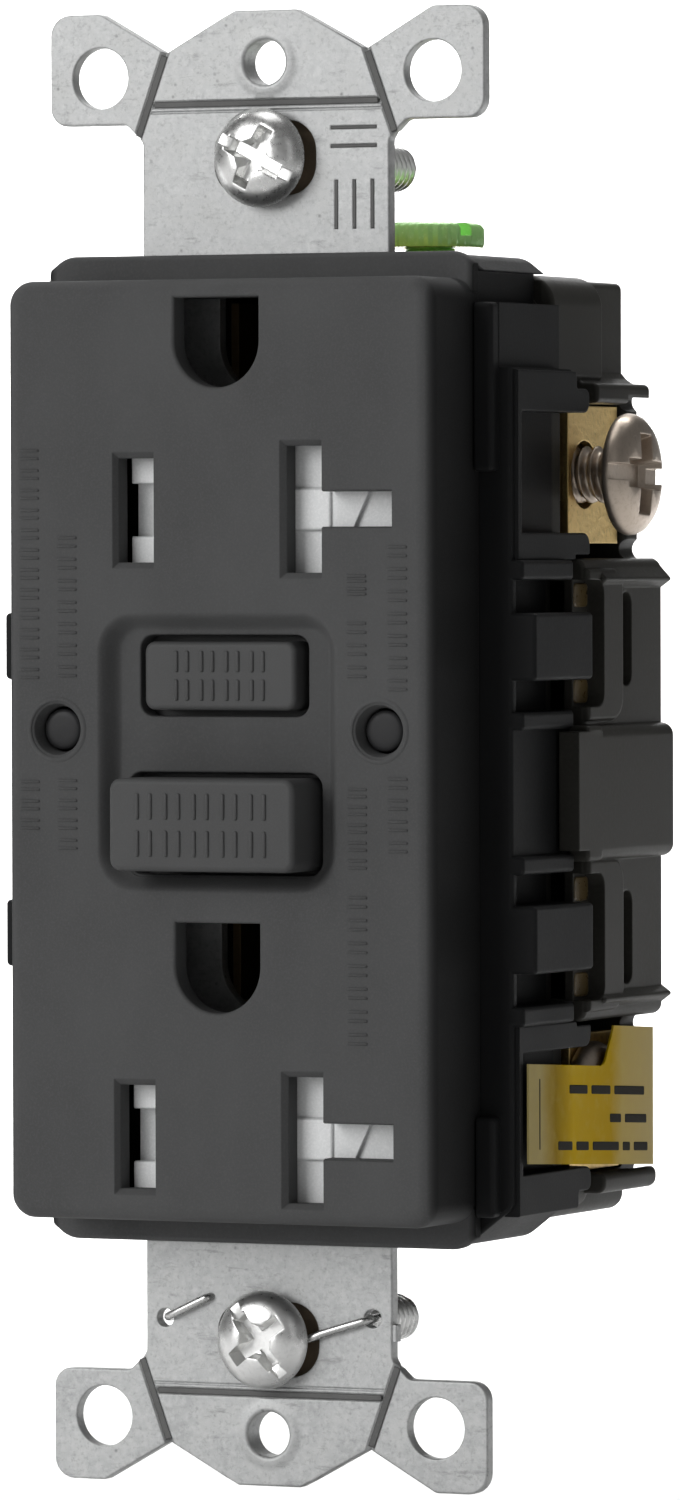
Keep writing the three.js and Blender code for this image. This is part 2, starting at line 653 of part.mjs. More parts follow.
// A bus bar with two blade clips and a fixed trip contact; the neutral one also grips the
// horizontal blade of a 20 A plug.
function contactStrip(side) {
  const clip = (z) => join(
    sideBox(side, 5.2, 5.65, 2.2, 7.4, z - 2.3, z + 2.3),
    sideBox(side, 7.15, 7.6, 2.2, 7.4, z - 2.3, z + 2.3),
  );
  const parts = [
    sideBox(side, 5.0, 7.9, ...STRIP_Y, LOWER.blade - 2.6, UPPER.blade + 2.6),
    clip(UPPER.blade),
    clip(LOWER.blade),
    rodY(TRIP_R + 0.1, side * BLADE_X, TRIP_Z, STRIP_Y[1] - 0.1, 8.3, 16),
  ];
  if (side > 0) {
    for (const { blade } of [UPPER, LOWER]) {
      parts.push(
        box(7.8, 13.2, ...STRIP_Y, blade - 1.6, blade + 1.6),
        box(9.2, 13.2, 2.2, 7.3, blade + 0.85, blade + 1.3),
        box(9.2, 13.2, 2.2, 7.3, blade - 1.3, blade - 0.85),
      );
    }
  }
  return join(...parts);
}

function lineArm(side) {
  return join(
    sideBox(side, 5.4, 7.4, ARM.y0, ARM.y1, ARM.tipZ, ARM.rootZ),
    rodY(TRIP_R, side * BLADE_X, TRIP_Z, 8.36, ARM.y0 + 0.1, 16),
  );
}

function lineBusbar(side) {
  return join(
    sideBox(side, 0.8, 2.2, 10.1, 19.7, 20.2, 22.2),
    sideBox(side, 0.8, 7.4, 10.0, 10.9, 20.2, 22.2),
  );
}

// ---- sensing and trip parts ---------------------------------------------------------------

function toroid(y0, y1) {
  const { outer, inner, z } = TOROID;
  const edge = 0.7;
  const profile = [
    [inner + edge, y0], [outer - edge, y0], [outer, y0 + edge], [outer, y1 - edge],
    [outer - edge, y1], [inner + edge, y1], [inner, y1 - edge], [inner, y0 + edge],
    [inner + edge, y0],
  ];
  return turned(profile, 0, z, 20);
}

// The board with its two surface-mounted lamps, one behind each lens.
function circuitBoard() {
  return join(
    box(-9.0, 9.0, BOARD.y0, BOARD.y1, -28.1, 31.0),
    box(-17.0, 17.0, BOARD.y0, BOARD.y1, -17.0, 10.0),
    ...[-1, 1].map((sx) => rodY(1.5, sx * LENS.x, LENS.z, 17.7, BOARD.y0 + 0.1, 16)),
  );
}

function solenoidBobbin() {
  const { y, z0, z1 } = COIL;
  return cut(
    join(
      rodZ(2.6, 0, y, z0, z1),
      box(-4.7, 4.7, y - 4.7, y + 4.7, z0, z0 + 0.8),
      box(-4.7, 4.7, y - 4.7, y + 4.7, z1 - 0.8, z1),
    ),
    rodZ(PLUNGER_R + 0.25, 0, y, z0 - 1, z1 + 1),
  );
}

function solenoidCoil() {
  const { y, z0, z1 } = COIL;
  return rodZ(4.4, 0, y, z0 + 0.85, z1 - 0.85).subtract(rodZ(2.7, 0, y, z0 - 1, z1 + 1));
}

function plunger() {
  return join(
    rodZ(PLUNGER_R, 0, COIL.y, -30.2, -13.5),
    rodZ(2.5, 0, COIL.y, -31.2, -30.1),
  );
}

// Lifts the two line arms; the latch plate slides in its slot and the reset pin passes it.
function latchBlock() {
  return cut(
    join(
      box(-8.0, 8.0, 12.6, 16.6, -9.6, -1.4),
      sideBox(1, 5.0, 8.0, 11.0, 12.8, -9.6, -1.4),
      sideBox(-1, 5.0, 8.0, 11.0, 12.8, -9.6, -1.4),
    ),
    box(-3.2, 3.2, 14.25, 15.25, -12, 0),
    rodY(PIN_R + 0.45, 0, RESET.z, 10, 18),
  );
}

function latchPlate() {
  return box(-2.9, 2.9, 14.4, 15.1, -13.2, -2.0).subtract(
    plate(roundedRect(0, RESET.z - 0.7, 3.2, 5.2, 1.5), 14, 16),
  );
}

function varistor() {
  return join(
    rodX(4.4, 14.8, -11.0, -15.6, -12.2),
    box(-14.3, -13.8, 16, BOARD.y0 - 0.05, -13.3, -12.8),
    box(-14.3, -13.8, 16, BOARD.y0 - 0.05, -9.2, -8.7),
  );
}

function capacitor() {
  return join(
    rodZ(3.2, 13.2, 15.6, -15.5, -5.5),
    box(13.0, 13.4, 17, BOARD.y0 - 0.05, -14.2, -13.8),
    box(13.0, 13.4, 17, BOARD.y0 - 0.05, -7.2, -6.8),
  );
}

// ---- buttons, shutters and springs --------------------------------------------------------

function testButton() {
  const { z, w, h, frontY } = TEST;
  return join(
    softPlate(roundedRect(0, z, w, h, 0.7), frontY, -4.6, 0.3, 2).subtract(
      box(-9, 9, -5.2, -4, z - 5, z + 5),
    ),
    plate(roundedRect(0, z, 13.8, 6.4, 0.7), -5.9, -5.1),
    box(-1.5, 1.5, -5.2, 1.9, z - 1.1, z + 1.1),
  );
}

function resetButton() {
  const { z, w, h, frontY } = RESET;
  return join(
    softPlate(roundedRect(0, z, w, h, 0.8), frontY, -4.6, 0.35, 2).subtract(
      box(-9, 9, -5.2, -4, z - 5, z + 5),
    ),
    plate(roundedRect(0, z, 15.6, 7.9, 0.8), -5.9, -5.1),
  ).subtract(rodY(2.7, 0, z, -8.0, -4));
}

// One slider per receptacle: it fills the hot slot and the T slot, and moves +X to open both.
function shutter(z) {
  const [y0, y1] = SHUTTER_Y;
  return cut(
    join(
      box(-7.5, 8.0, y0, y1, z - 4.55, z + 4.55),
      box(7.9, 13.45, y0, y1, z - 1.35, z + 1.35),
    ),
    box(3.3, 5.45, y0 - 1, y1 + 1, z - 4.0, z + 4.0),
    // recessed bridge across the middle, and the ramp's pocket in the hot slot
    box(-4.6, 3.31, y0 - 1, y0 + 0.5, z - 6, z + 6),
    box(-8.0, -5.5, y0 - 1, y0 + 1.0, z - 1.9, z + 1.9),
  );
}

function addSpring(name, look, radius, wireR, length, turns, place) {
  const piece = addPiece(name, toSolid(wire(new Helix(radius, length, turns), wireR, 10 * turns)), look);
  place(piece);
  return piece;
}

function testContact() {
  return join(
    box(-4.4, 4.2, 3.8, 4.1, TEST.z - 1.0, TEST.z + 1.0),
    box(-4.4, -4.1, 1.66, 4.0, TEST.z - 1.0, TEST.z + 1.0),
  );
}

// ---- label --------------------------------------------------------------------------------

// A thin strip round the back and both sides, over the load terminals.
function loadLabel() {
  const { side, back, t, front, bend } = LABEL;
  const { low, step: stepZ, high } = LABEL_Z;
  const profile = (x, y) => {
    const shape = new THREE.Shape();
    shape.moveTo(-x, front);
    shape.lineTo(x, front);
    shape.lineTo(x, y - bend);
    shape.absarc(x - bend, y - bend, bend, 0, Math.PI / 2);
    shape.lineTo(-x + bend, y);
    shape.absarc(-x + bend, y - bend, bend, Math.PI / 2, Math.PI);
    return shape;
  };
  const prism = (shape, z0, z1) => {
    const geometry = new THREE.ExtrudeGeometry(shape, {
      depth: z1 - z0, bevelEnabled: false, curveSegments: 3,
    });
    geometry.translate(0, 0, z0);
    return toSolid(geometry);
  };
  const inner = prism(profile(side - t, back - t), -40, 0).add(box(t - side, side - t, -2, 5, -40, 0));
  const stepDown = new THREE.Shape();
  stepDown.moveTo(-2, stepZ);
  stepDown.lineTo(12.6, stepZ);
  stepDown.quadraticCurveTo(14.6, stepZ + 0.2, 15.0, stepZ + 1.4);
  stepDown.lineTo(15.6, high + 1.2);
  stepDown.lineTo(-2, high + 1.2);
  const step = new THREE.ExtrudeGeometry(stepDown, {
    depth: 50, bevelEnabled: false, curveSegments: 4,
  });
  step.applyMatrix4(new THREE.Matrix4().makeBasis(
    new THREE.Vector3(0, 1, 0),
    new THREE.Vector3(0, 0, 1),
    new THREE.Vector3(1, 0, 0),
  ));
  step.translate(-25, 0, 0);
  return cut(prism(profile(side, back), low, high), inner, toSolid(step));
}

// ---- assembly -----------------------------------------------------------------------------

addPiece('face_cover', faceCover(), 'cover');
addPiece('front_housing', frontHousing(), 'housing');
addPiece('separator', separator(), 'housing');
addPiece('back_cover', backCover(), 'back');
addPiece('mounting_strap', mountingStrap(), 'steel');
addPiece('self_ground_wire_clip', groundWireClip(), 'spring');

const screwZ = SCREW_SPACING / 2;
for (const [end, sz] of [['upper', 1], ['lower', -1]]) {
  addPiece(`mounting_screw_${end}`, trussScrew(0, sz * screwZ, -1.75, 22.1), 'zinc');
  const washer = box(-4, 4, 0.06, 0.56, sz * screwZ - 3.6, sz * screwZ + 3.6);
  addPiece(`screw_retainer_${end}`, washer.subtract(rodY(1.95, 0, sz * screwZ, -1, 2)), 'fibre');
}

addPiece('ground_terminal', groundTerminal(), 'brass');
addPiece('ground_screw', groundScrew(), 'green');
addPiece('ground_contact_upper', groundContact(UPPER.ground), 'brass');
addPiece('ground_contact_lower', groundContact(LOWER.ground), 'brass');

addTerminals();

addPiece('hot_contact_strip', contactStrip(-1), 'brass');
addPiece('neutral_contact_strip', contactStrip(1), 'brass');
addPiece('line_arm_hot', lineArm(-1), 'copper');
addPiece('line_arm_neutral', lineArm(1), 'copper');
addPiece('line_busbar_hot', lineBusbar(-1), 'copper');
addPiece('line_busbar_neutral', lineBusbar(1), 'copper');

addPiece('test_button', testButton(), 'button');
addPiece('reset_button', resetButton(), 'button');
addPiece('reset_pin', rodY(PIN_R, 0, RESET.z, -7.9, 17.5, 16), 'zinc');
addPiece('test_contact', testContact(), 'brass');
addSpring('reset_spring', 'spring', 2.1, 0.26, 5.0, 4, (piece) => {
  piece.rotation.x = Math.PI / 2;
  piece.position.set(0, -0.4, RESET.z);
});

addPiece('indicator_lens_left', rodY(LENS.r, -LENS.x, LENS.z, FACE_Y + 0.9, 17.5, 16), 'lens');
addPiece('indicator_lens_right', rodY(LENS.r, LENS.x, LENS.z, FACE_Y + 0.9, 17.5, 16), 'lens');

for (const [end, { blade }] of [['upper', UPPER], ['lower', LOWER]]) {
  addPiece(`shutter_${end}`, shutter(blade), 'shutter');
  addSpring(`shutter_spring_${end}`, 'spring', 0.95, 0.18, 4.2, 5, (piece) => {
    piece.rotation.y = Math.PI / 2;
    piece.position.set(10.35, -6.3, blade + 3.0);
  });
}

addPiece('circuit_board', circuitBoard(), 'board');
addPiece('sense_toroid_front', toroid(12.0, 15.3), 'ferrite');
addPiece('sense_toroid_rear', toroid(15.8, 19.3), 'ferrite');
addPiece('solenoid_bobbin', solenoidBobbin(), 'bobbin');
addPiece('solenoid_coil', solenoidCoil(), 'copper');
addPiece('solenoid_plunger', plunger(), 'steel');
addSpring('plunger_spring', 'spring', 2.1, 0.22, 2.4, 3, (piece) => {
  piece.position.set(0, COIL.y, -29.7);
});
addPiece('latch_block', latchBlock(), 'bobbin');
addPiece('latch_plate', latchPlate(), 'steel');
addPiece('surge_varistor', varistor(), 'blue');
addPiece('smoothing_capacitor', capacitor(), 'sleeve');
addPiece('control_chip', box(-3.5, 3.5, 18.1, BOARD.y0 - 0.05, 3.4, 8.6), 'sleeve');

[[1, UPPER_BOSS], [-1, UPPER_BOSS], [1, LOWER_BOSS], [-1, LOWER_BOSS]].forEach(([sx, boss], i) => {
  const rear = BACK_REAR_Y - 0.15;
  const profile = [
    [0, 3.0], [0.8, 3.0], [1.2, 3.8], [1.2, rear - 1.25], [2.05, rear - 1.25], [2.05, rear - 0.5],
    [1.5, rear], [0, rear],
  ];
  const solid = turned(profile, sx * boss.x, boss.z, 12);
  const slot = box(sx * boss.x - 1.3, sx * boss.x + 1.3, rear - 0.6, rear + 1, boss.z - 0.3, boss.z + 0.3);
  addPiece(`assembly_screw_${i + 1}`, solid.subtract(slot), 'zinc');
});

addPiece('load_terminal_label', loadLabel(), 'label');

export default group;
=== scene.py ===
from math import atan2, cos, pi, radians, sin, tan

import bmesh
import bpy
from mathutils import Matrix, Vector


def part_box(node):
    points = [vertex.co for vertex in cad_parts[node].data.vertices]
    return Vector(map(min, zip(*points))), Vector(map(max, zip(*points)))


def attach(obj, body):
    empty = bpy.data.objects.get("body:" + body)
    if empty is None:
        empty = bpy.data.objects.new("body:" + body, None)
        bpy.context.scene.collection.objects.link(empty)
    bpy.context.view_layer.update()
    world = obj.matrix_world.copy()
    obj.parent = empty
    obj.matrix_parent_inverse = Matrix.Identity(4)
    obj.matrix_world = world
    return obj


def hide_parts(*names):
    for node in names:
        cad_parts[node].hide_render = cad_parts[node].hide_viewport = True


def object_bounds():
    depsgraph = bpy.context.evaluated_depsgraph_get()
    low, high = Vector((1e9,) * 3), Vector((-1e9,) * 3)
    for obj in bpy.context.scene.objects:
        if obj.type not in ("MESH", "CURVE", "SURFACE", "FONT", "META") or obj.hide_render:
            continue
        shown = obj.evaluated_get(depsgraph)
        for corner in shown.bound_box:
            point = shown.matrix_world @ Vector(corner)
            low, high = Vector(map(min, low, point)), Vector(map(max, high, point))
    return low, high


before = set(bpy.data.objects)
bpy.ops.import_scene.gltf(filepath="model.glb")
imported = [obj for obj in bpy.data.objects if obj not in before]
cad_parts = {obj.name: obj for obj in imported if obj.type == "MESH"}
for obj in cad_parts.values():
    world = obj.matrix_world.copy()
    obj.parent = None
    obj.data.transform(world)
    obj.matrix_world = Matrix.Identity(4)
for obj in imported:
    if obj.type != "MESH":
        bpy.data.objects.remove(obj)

cad_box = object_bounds()
MM = 0.001
BODY = "frame"


# ---- outlines, in millimetres, counter-clockwise ----

def turn(a, b, n):
    return [a + (b - a) * i / n for i in range(n + 1)]


def rounded_rect(cx, cz, w, h, r, n=8):
    points = []
    corners = ((1, -1, -90), (1, 1, 0), (-1, 1, 90), (-1, -1, 180))
    for sx, sz, start in corners:
        x, z = cx + sx * (w / 2 - r), cz + sz * (h / 2 - r)
        for a in turn(radians(start), radians(start + 90), n):
            points.append((x + r * cos(a), z + r * sin(a)))
    return points


def rounded_poly(corners, n=5):
    """Corners as (x, z) or (x, z, radius)."""
    points = []
    count = len(corners)
    for i, corner in enumerate(corners):
        here = Vector(corner[:2])
        r = corner[2] if len(corner) > 2 else 0
        if not r:
            points.append(tuple(here))
            continue
        u = (Vector(corners[i - 1][:2]) - here).normalized()
        v = (Vector(corners[(i + 1) % count][:2]) - here).normalized()
        half = u.angle(v) / 2
        centre = here + (u + v).normalized() * r / sin(half)
        reach = r / tan(half)
        a0 = here + u * reach - centre
        a1 = here + v * reach - centre
        start = atan2(a0.y, a0.x)
        sweep = atan2(a1.y, a1.x) - start
        sweep = (sweep + pi) % (2 * pi) - pi
        for a in turn(start, start + sweep, n):
            points.append((centre.x + r * cos(a), centre.y + r * sin(a)))
    return points


def circle(cx, cz, r, n=32):
    return [(cx + r * cos(2 * pi * i / n), cz + r * sin(2 * pi * i / n))
            for i in range(n)]


def grown(points, d):
    """The outline moved outwards by d."""
    moved = []
    count = len(points)
    for i in range(count):
        p0, p1, p2 = (Vector(points[i - 1]), Vector(points[i]), Vector(points[(i + 1) % count]))
        e1, e2 = (p1 - p0).normalized(), (p2 - p1).normalized()
        n1, n2 = Vector((e1.y, -e1.x)), Vector((e2.y, -e2.x))
        moved.append(tuple(p1 + (n1 + n2) * d / (1 + n1.dot(n2))))
    return moved


# ---- shells: (vertices in mm, faces) ----

PLACE = {"y": lambda u, v, w: (u, w, v), "z": lambda u, v, w: (u, v, w),
         "x": lambda u, v, w: (w, u, v)}


def skin(rings, axis="y"):
    """A closed shell through rings of equal length, each (outline, position along the axis)."""
    place = PLACE[axis]
    verts = [place(u, v, w) for outline, w in rings for u, v in outline]
    n = len(rings[0][0])
    faces = [tuple(range(n)), tuple(range((len(rings) - 1) * n, len(rings) * n))]
    for k in range(len(rings) - 1):
        for i in range(n):
            j = (i + 1) % n
            faces.append((k * n + i, k * n + j, (k + 1) * n + j, (k + 1) * n + i))
    return verts, faces


def loft(outline, profile, axis="y"):
    """Rings of one outline grown by each profile entry (growth, position)."""
    return skin([(grown(outline, d) if d else outline, w) for d, w in profile], axis)


def slab(outline, a, b, front=0, rear=0, n=4, axis="y"):
    """A plate from a to b, with its two rims rounded by front and rear."""
    profile = []
    if front:
        for t in turn(0, pi / 2, n):
            profile.append((-front * (1 - sin(t)), a + front * (1 - cos(t))))
    else:
        profile.append((0, a))
    if rear:
        for t in turn(pi / 2, 0, n):
            profile.append((-rear * (1 - sin(t)), b - rear * (1 - cos(t))))
    else:
        profile.append((0, b))
    return loft(outline, profile, axis)


def flared(outline, y, r, depth, n=5, over=0.6):
    """A cutter whose mouth at y is rounded off by r, down to y + depth."""
    profile = [(r, y - over), (r, y)]
    for t in turn(0, pi / 2, n)[1:]:
        profile.append((r * (1 - sin(t)), y + r * (1 - cos(t))))
    profile.append((0, y + depth))
    return loft(outline, profile)


def rect(x0, x1, z0, z1):
    return [(x0, z0), (x1, z0), (x1, z1), (x0, z1)]


def rounded_span(x0, x1, z0, z1, r):
    return rounded_rect((x0 + x1) / 2, (z0 + z1) / 2, x1 - x0, z1 - z0, r)


def block(x0, x1, y0, y1, z0, z1):
    return skin([(rect(x0, x1, z0, z1), y0), (rect(x0, x1, z0, z1), y1)])


def side_box(side, x0, x1, y0, y1, z0, z1):
    return block(*sorted((side * x0, side * x1)), y0, y1, z0, z1)


def lathe(profile, n=48):
    """Turned about the Y axis: profile as (radius, y), open at the axis at both ends."""
    return skin([(circle(0, 0, r, n), y) for r, y in profile])


def threaded(r_minor, r_major, pitch, y0, y1, n=28, steps=8):
    """A threaded rod along Y, with a tapered tip at y1."""
    count = max(2, int((y1 - y0) / pitch * steps))
    rings = []
    for k in range(count + 1):
        y = y0 + (y1 - y0) * k / count
        fade = min(1, (y1 - y) / (1.4 * pitch) + 0.05, (y - y0) / (0.6 * pitch) + 0.05)
        taper = 1 - 0.25 * max(0, 1 - (y1 - y) / (1.1 * pitch))
        ring = []
        for i in range(n):
            phase = (y / pitch + i / n) % 1
            crest = max(0, 1 - abs(phase - 0.5) * 2.6)
            r = (r_minor + (r_major - r_minor) * min(1, crest * 1.25) * fade) * taper
            a = 2 * pi * i / n
            ring.append((r * cos(a), r * sin(a)))
        rings.append((ring, y))
    return skin(rings)


def moved(shell, x=0, y=0, z=0, turned=None):
    verts, faces = shell
    m = turned or Matrix.Identity(3)
    return [tuple(m @ Vector(p) + Vector((x, y, z))) for p in verts], faces


def peg(r, y0, y1, x, z, n=32):
    """A round rod along Y."""
    return moved(lathe([(r, y0), (r, y1)], n), x, 0, z)


def around(axis, degrees):
    return Matrix.Rotation(radians(degrees), 3, axis)


# ---- objects ----

def thing(name, *shells):
    """One object from closed shells that don't meet."""
    verts, faces = [], []
    for v, f in shells:
        base = len(verts)
        verts += [tuple(c * MM for c in p) for p in v]
        faces += [tuple(i + base for i in face) for face in f]
    mesh = bpy.data.meshes.new(name)
    mesh.from_pydata(verts, [], faces)
    bm = bmesh.new()
    bm.from_mesh(mesh)
    bmesh.ops.recalc_face_normals(bm, faces=bm.faces)
    bm.to_mesh(mesh)
    bm.free()
    obj = bpy.data.objects.new(name, mesh)
    bpy.context.scene.collection.objects.link(obj)
    return obj


def settle(obj):
    """Applies the object's modifiers."""
    graph = bpy.context.evaluated_depsgraph_get()
    mesh = bpy.data.meshes.new_from_object(obj.evaluated_get(graph))
    obj.modifiers.clear()
    obj.data = mesh


def combine(obj, parts, operation="DIFFERENCE"):
    """Adds or cuts closed shells or whole objects, one after the other."""
    tools = [p if isinstance(p, bpy.types.Object) else thing("tool", p) for p in parts]
    for tool in tools:
        m = obj.modifiers.new("combine", "BOOLEAN")
        m.operation = operation
        m.solver = "MANIFOLD"
        m.object = tool
    settle(obj)
    for tool in tools:
        bpy.data.objects.remove(tool)


def cut(obj, *shells):
    combine(obj, shells)


def add(obj, *shells):
    combine(obj, shells, "UNION")


def soften(obj, width, segments=2, angle=35):
    m = obj.modifiers.new("soft edges", "BEVEL")
    m.width = width * MM
    m.segments = segments
    m.limit_method = "ANGLE"
    m.angle_limit = radians(angle)


def piece(obj, look, slot, *nodes, body=BODY, angle=32):
    """Shades an object, gives it a look and body, and names the CAD nodes it replaces; slot is not used.
    """
    obj.data.shade_smooth()
    obj.data.set_sharp_from_angle(angle=radians(angle))
    m = obj.modifiers.new("flat faces", "WEIGHTED_NORMAL")
    m.keep_sharp = True
    m.weight = 100
    obj.data.materials.clear()
    obj.data.materials.append(look)
    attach(obj, body)
    if nodes:
        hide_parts(*nodes)


# ---- materials ----

class Look:
    """A procedural material round one Principled shader, in object coordinates."""

    def __init__(self, name, **sockets):
        self.mat = bpy.data.materials.new(name)
        self.mat.use_nodes = True
        self.tree = self.mat.node_tree
        self.shader = self.tree.nodes["Principled BSDF"]
        self.place = self.node("ShaderNodeTexCoord").outputs["Object"]
        for socket, value in sockets.items():
            self.shader.inputs[socket.replace("_", " ")].default_value = value

    def node(self, kind, **settings):
        made = self.tree.nodes.new(kind)
        for key, value in settings.items():
            setattr(made, key, value)
        return made

    def link(self, a, b):
        self.tree.links.new(a, b)

    def coordinate(self, axis):
        split = self.node("ShaderNodeSeparateXYZ")
        self.link(self.place, split.inputs["Vector"])
        return split.outputs[axis]

    def stretched(self, x, y, z):
        node = self.node("ShaderNodeMapping")
        self.link(self.place, node.inputs["Vector"])
        node.inputs["Scale"].default_value = (x, y, z)
        return node.outputs["Vector"]

    def noise(self, size, detail=3, rough=0.55, place=None):
        """Soft noise whose blotches are about size millimetres across."""
        node = self.node("ShaderNodeTexNoise")
        self.link(place or self.place, node.inputs["Vector"])
        node.inputs["Scale"].default_value = 1 / (size * MM)
        node.inputs["Detail"].default_value = detail
        node.inputs["Roughness"].default_value = rough
        return node.outputs["Fac"]

    def cells(self, size):
        node = self.node("ShaderNodeTexVoronoi")
        self.link(self.place, node.inputs["Vector"])
        node.inputs["Scale"].default_value = 1 / (size * MM)
        return node.outputs["Distance"]

    def ramp(self, fac, *stops):
        node = self.node("ShaderNodeValToRGB")
        self.link(fac, node.inputs["Fac"])
        elements = node.color_ramp.elements
        while len(elements) < len(stops):
            elements.new(0.5)
        for element, (at, color) in zip(elements, stops):
            element.position = at
            element.color = (*color, 1)
        return node.outputs["Color"]

    def span(self, fac, low, high, a=0.0, b=1.0):
        node = self.node("ShaderNodeMapRange")
        self.link(fac, node.inputs["Value"])
        for key, value in (("From Min", a), ("From Max", b), ("To Min", low), ("To Max", high)):
            node.inputs[key].default_value = value
        return node.outputs["Result"]

    def blend(self, fac, tone, color):
        node = self.node("ShaderNodeMix", data_type="RGBA")
        self.link(fac, node.inputs["Factor"])
        self.link(tone, node.inputs[6])
        node.inputs[7].default_value = (*color, 1)
        return node.outputs[2]

    def fleck(self, tone, source, share, a, b, color):
        """Mixes in up to a share of a color where source rises from a to b."""
        return self.blend(self.span(source, 0.0, share, a, b), tone, color)

    def math(self, operation, a, b=0.0):
        node = self.node("ShaderNodeMath", operation=operation)
        self.link(a, node.inputs[0])
        if isinstance(b, float):
            node.inputs[1].default_value = b
        else:
            self.link(b, node.inputs[1])
        return node.outputs["Value"]

    def rounding(self, radius):
        """Edges that catch light over radius millimetres."""
        node = self.node("ShaderNodeBevel", samples=6)
        node.inputs["Radius"].default_value = radius * MM
        return node.outputs["Normal"]

    def bump(self, height, depth, strength=1.0, normal=None):
        """Relief of depth millimetres for a height from 0 to 1."""
        node = self.node("ShaderNodeBump")
        node.inputs["Strength"].default_value = strength
        node.inputs["Distance"].default_value = depth * MM
        self.link(height, node.inputs["Height"])
        if normal is not None:
            self.link(normal, node.inputs["Normal"])
        return node.outputs["Normal"]

    def done(self, color, roughness, normal):
        for value, socket in ((color, "Base Color"), (roughness, "Roughness"), (normal, "Normal")):
            self.link(value, self.shader.inputs[socket])
        return self.mat


def scaled(color, k):
    return tuple(min(1, c * k) for c in color)


def plastic(name, color, roughness, grain=0.16, relief=0.006, edge=0.15, vary=0.12, painted_side_shade=None,
            **sockets):
    """Moulded plastic: faint flow marks in tone, spark-eroded texture, soft edges.

    For painted side shade give (x0, x1, share): beyond x0 to x1 millimetres from the middle the tone
    falls to a share, a painted shade on sides turned away from the light.
    """
    look = Look(name, **sockets)
    flow = look.noise(9, 4, place=look.stretched(1, 1, 0.6))
    fine = look.noise(grain, 3, 0.65)
    specks = look.span(look.cells(grain * 5), 0.0, 1.0, 0.0, 0.16)
    tone = look.ramp(flow, (0.3, scaled(color, 1 - vary)), (0.5, color), (0.72, scaled(color, 1 + vary)))
    tone = look.fleck(tone, fine, 0.5, 0.45, 0.75, scaled(color, 1.35))
    # painted shade: the tone darkens towards the sides, which face away from the light
    if painted_side_shade:
        x0, x1, share = painted_side_shade
        tone = look.fleck(tone, look.math("ABSOLUTE", look.coordinate("X")), 1, x0 * MM, x1 * MM,
                          scaled(color, share))
    rough = look.math("ADD", look.span(flow, roughness - 0.04, roughness + 0.05, 0.3, 0.7),
                      look.span(fine, -0.05, 0.05, 0.3, 0.7))
    height = look.math("MULTIPLY", fine, look.span(specks, 0.8, 1.0))
    normal = look.bump(height, relief, 1.0, look.rounding(edge))
    return look.done(tone, rough, normal)


def metal(name, color, roughness, grain=0.5, relief=0.004, marks=0.25):
    """Plated or bare metal: broad changes of tone, fine grain and handling marks."""
    look = Look(name, Metallic=1.0)
    broad = look.noise(6, 4, 0.6)
    fine = look.noise(grain, 4, 0.6)
    tone = look.ramp(broad, (0.3, scaled(color, 0.86)), (0.55, color), (0.75, scaled(color, 1.08)))
    tone = look.fleck(tone, fine, marks, 0.5, 0.75, scaled(color, 0.62))
    rough = look.math("ADD", look.span(broad, roughness - 0.06, roughness + 0.06, 0.3, 0.7),
                      look.span(fine, -0.06, 0.08, 0.3, 0.7))
    normal = look.bump(fine, relief, 1.0, look.rounding(0.12))
    return look.done(tone, rough, normal)


def galvanised():
    """Zinc-coated strip: mottled satin grey, small dark pits and short scuffs."""
    look = Look("galvanised_steel", Metallic=0.72, Specular_IOR_Level=0.5)
    clouds = look.noise(3.2, 5, 0.62)
    fine = look.noise(0.55, 4, 0.7)
    pits = look.span(look.cells(1.1), 1.0, 0.0, 0.03, 0.16)
    scuffs = look.noise(1.2, 5, 0.75, look.stretched(0.35, 1, 1.6))
    tone = look.ramp(clouds, (0.32, (0.35, 0.355, 0.355)), (0.5, (0.43, 0.435, 0.435)),
                     (0.7, (0.51, 0.515, 0.51)))
    tone = look.fleck(tone, fine, 0.55, 0.42, 0.72, (0.60, 0.605, 0.60))
    tone = look.fleck(tone, scuffs, 0.6, 0.58, 0.70, (0.22, 0.222, 0.222))
    tone = look.blend(look.math("MULTIPLY", pits, look.span(clouds, 0.0, 0.9, 0.45, 0.62)), tone,
                      (0.16, 0.16, 0.16))
    tone = look.fleck(tone, look.noise(0.3, 3, 0.7), 0.4, 0.53, 0.68, (0.24, 0.242, 0.242))
    rough = look.math("ADD", look.span(clouds, 0.46, 0.62, 0.3, 0.7), look.span(fine, -0.08, 0.08))
    normal = look.bump(look.math("ADD", fine, look.math("MULTIPLY", pits, -0.5)), 0.012, 1.0,
                       look.rounding(0.1))
    return look.done(tone, rough, normal)


CHARCOAL = (0.075, 0.0755, 0.076)
BLACK = (0.0115, 0.0118, 0.0122)
SMOKE = (0.030, 0.029, 0.0255)

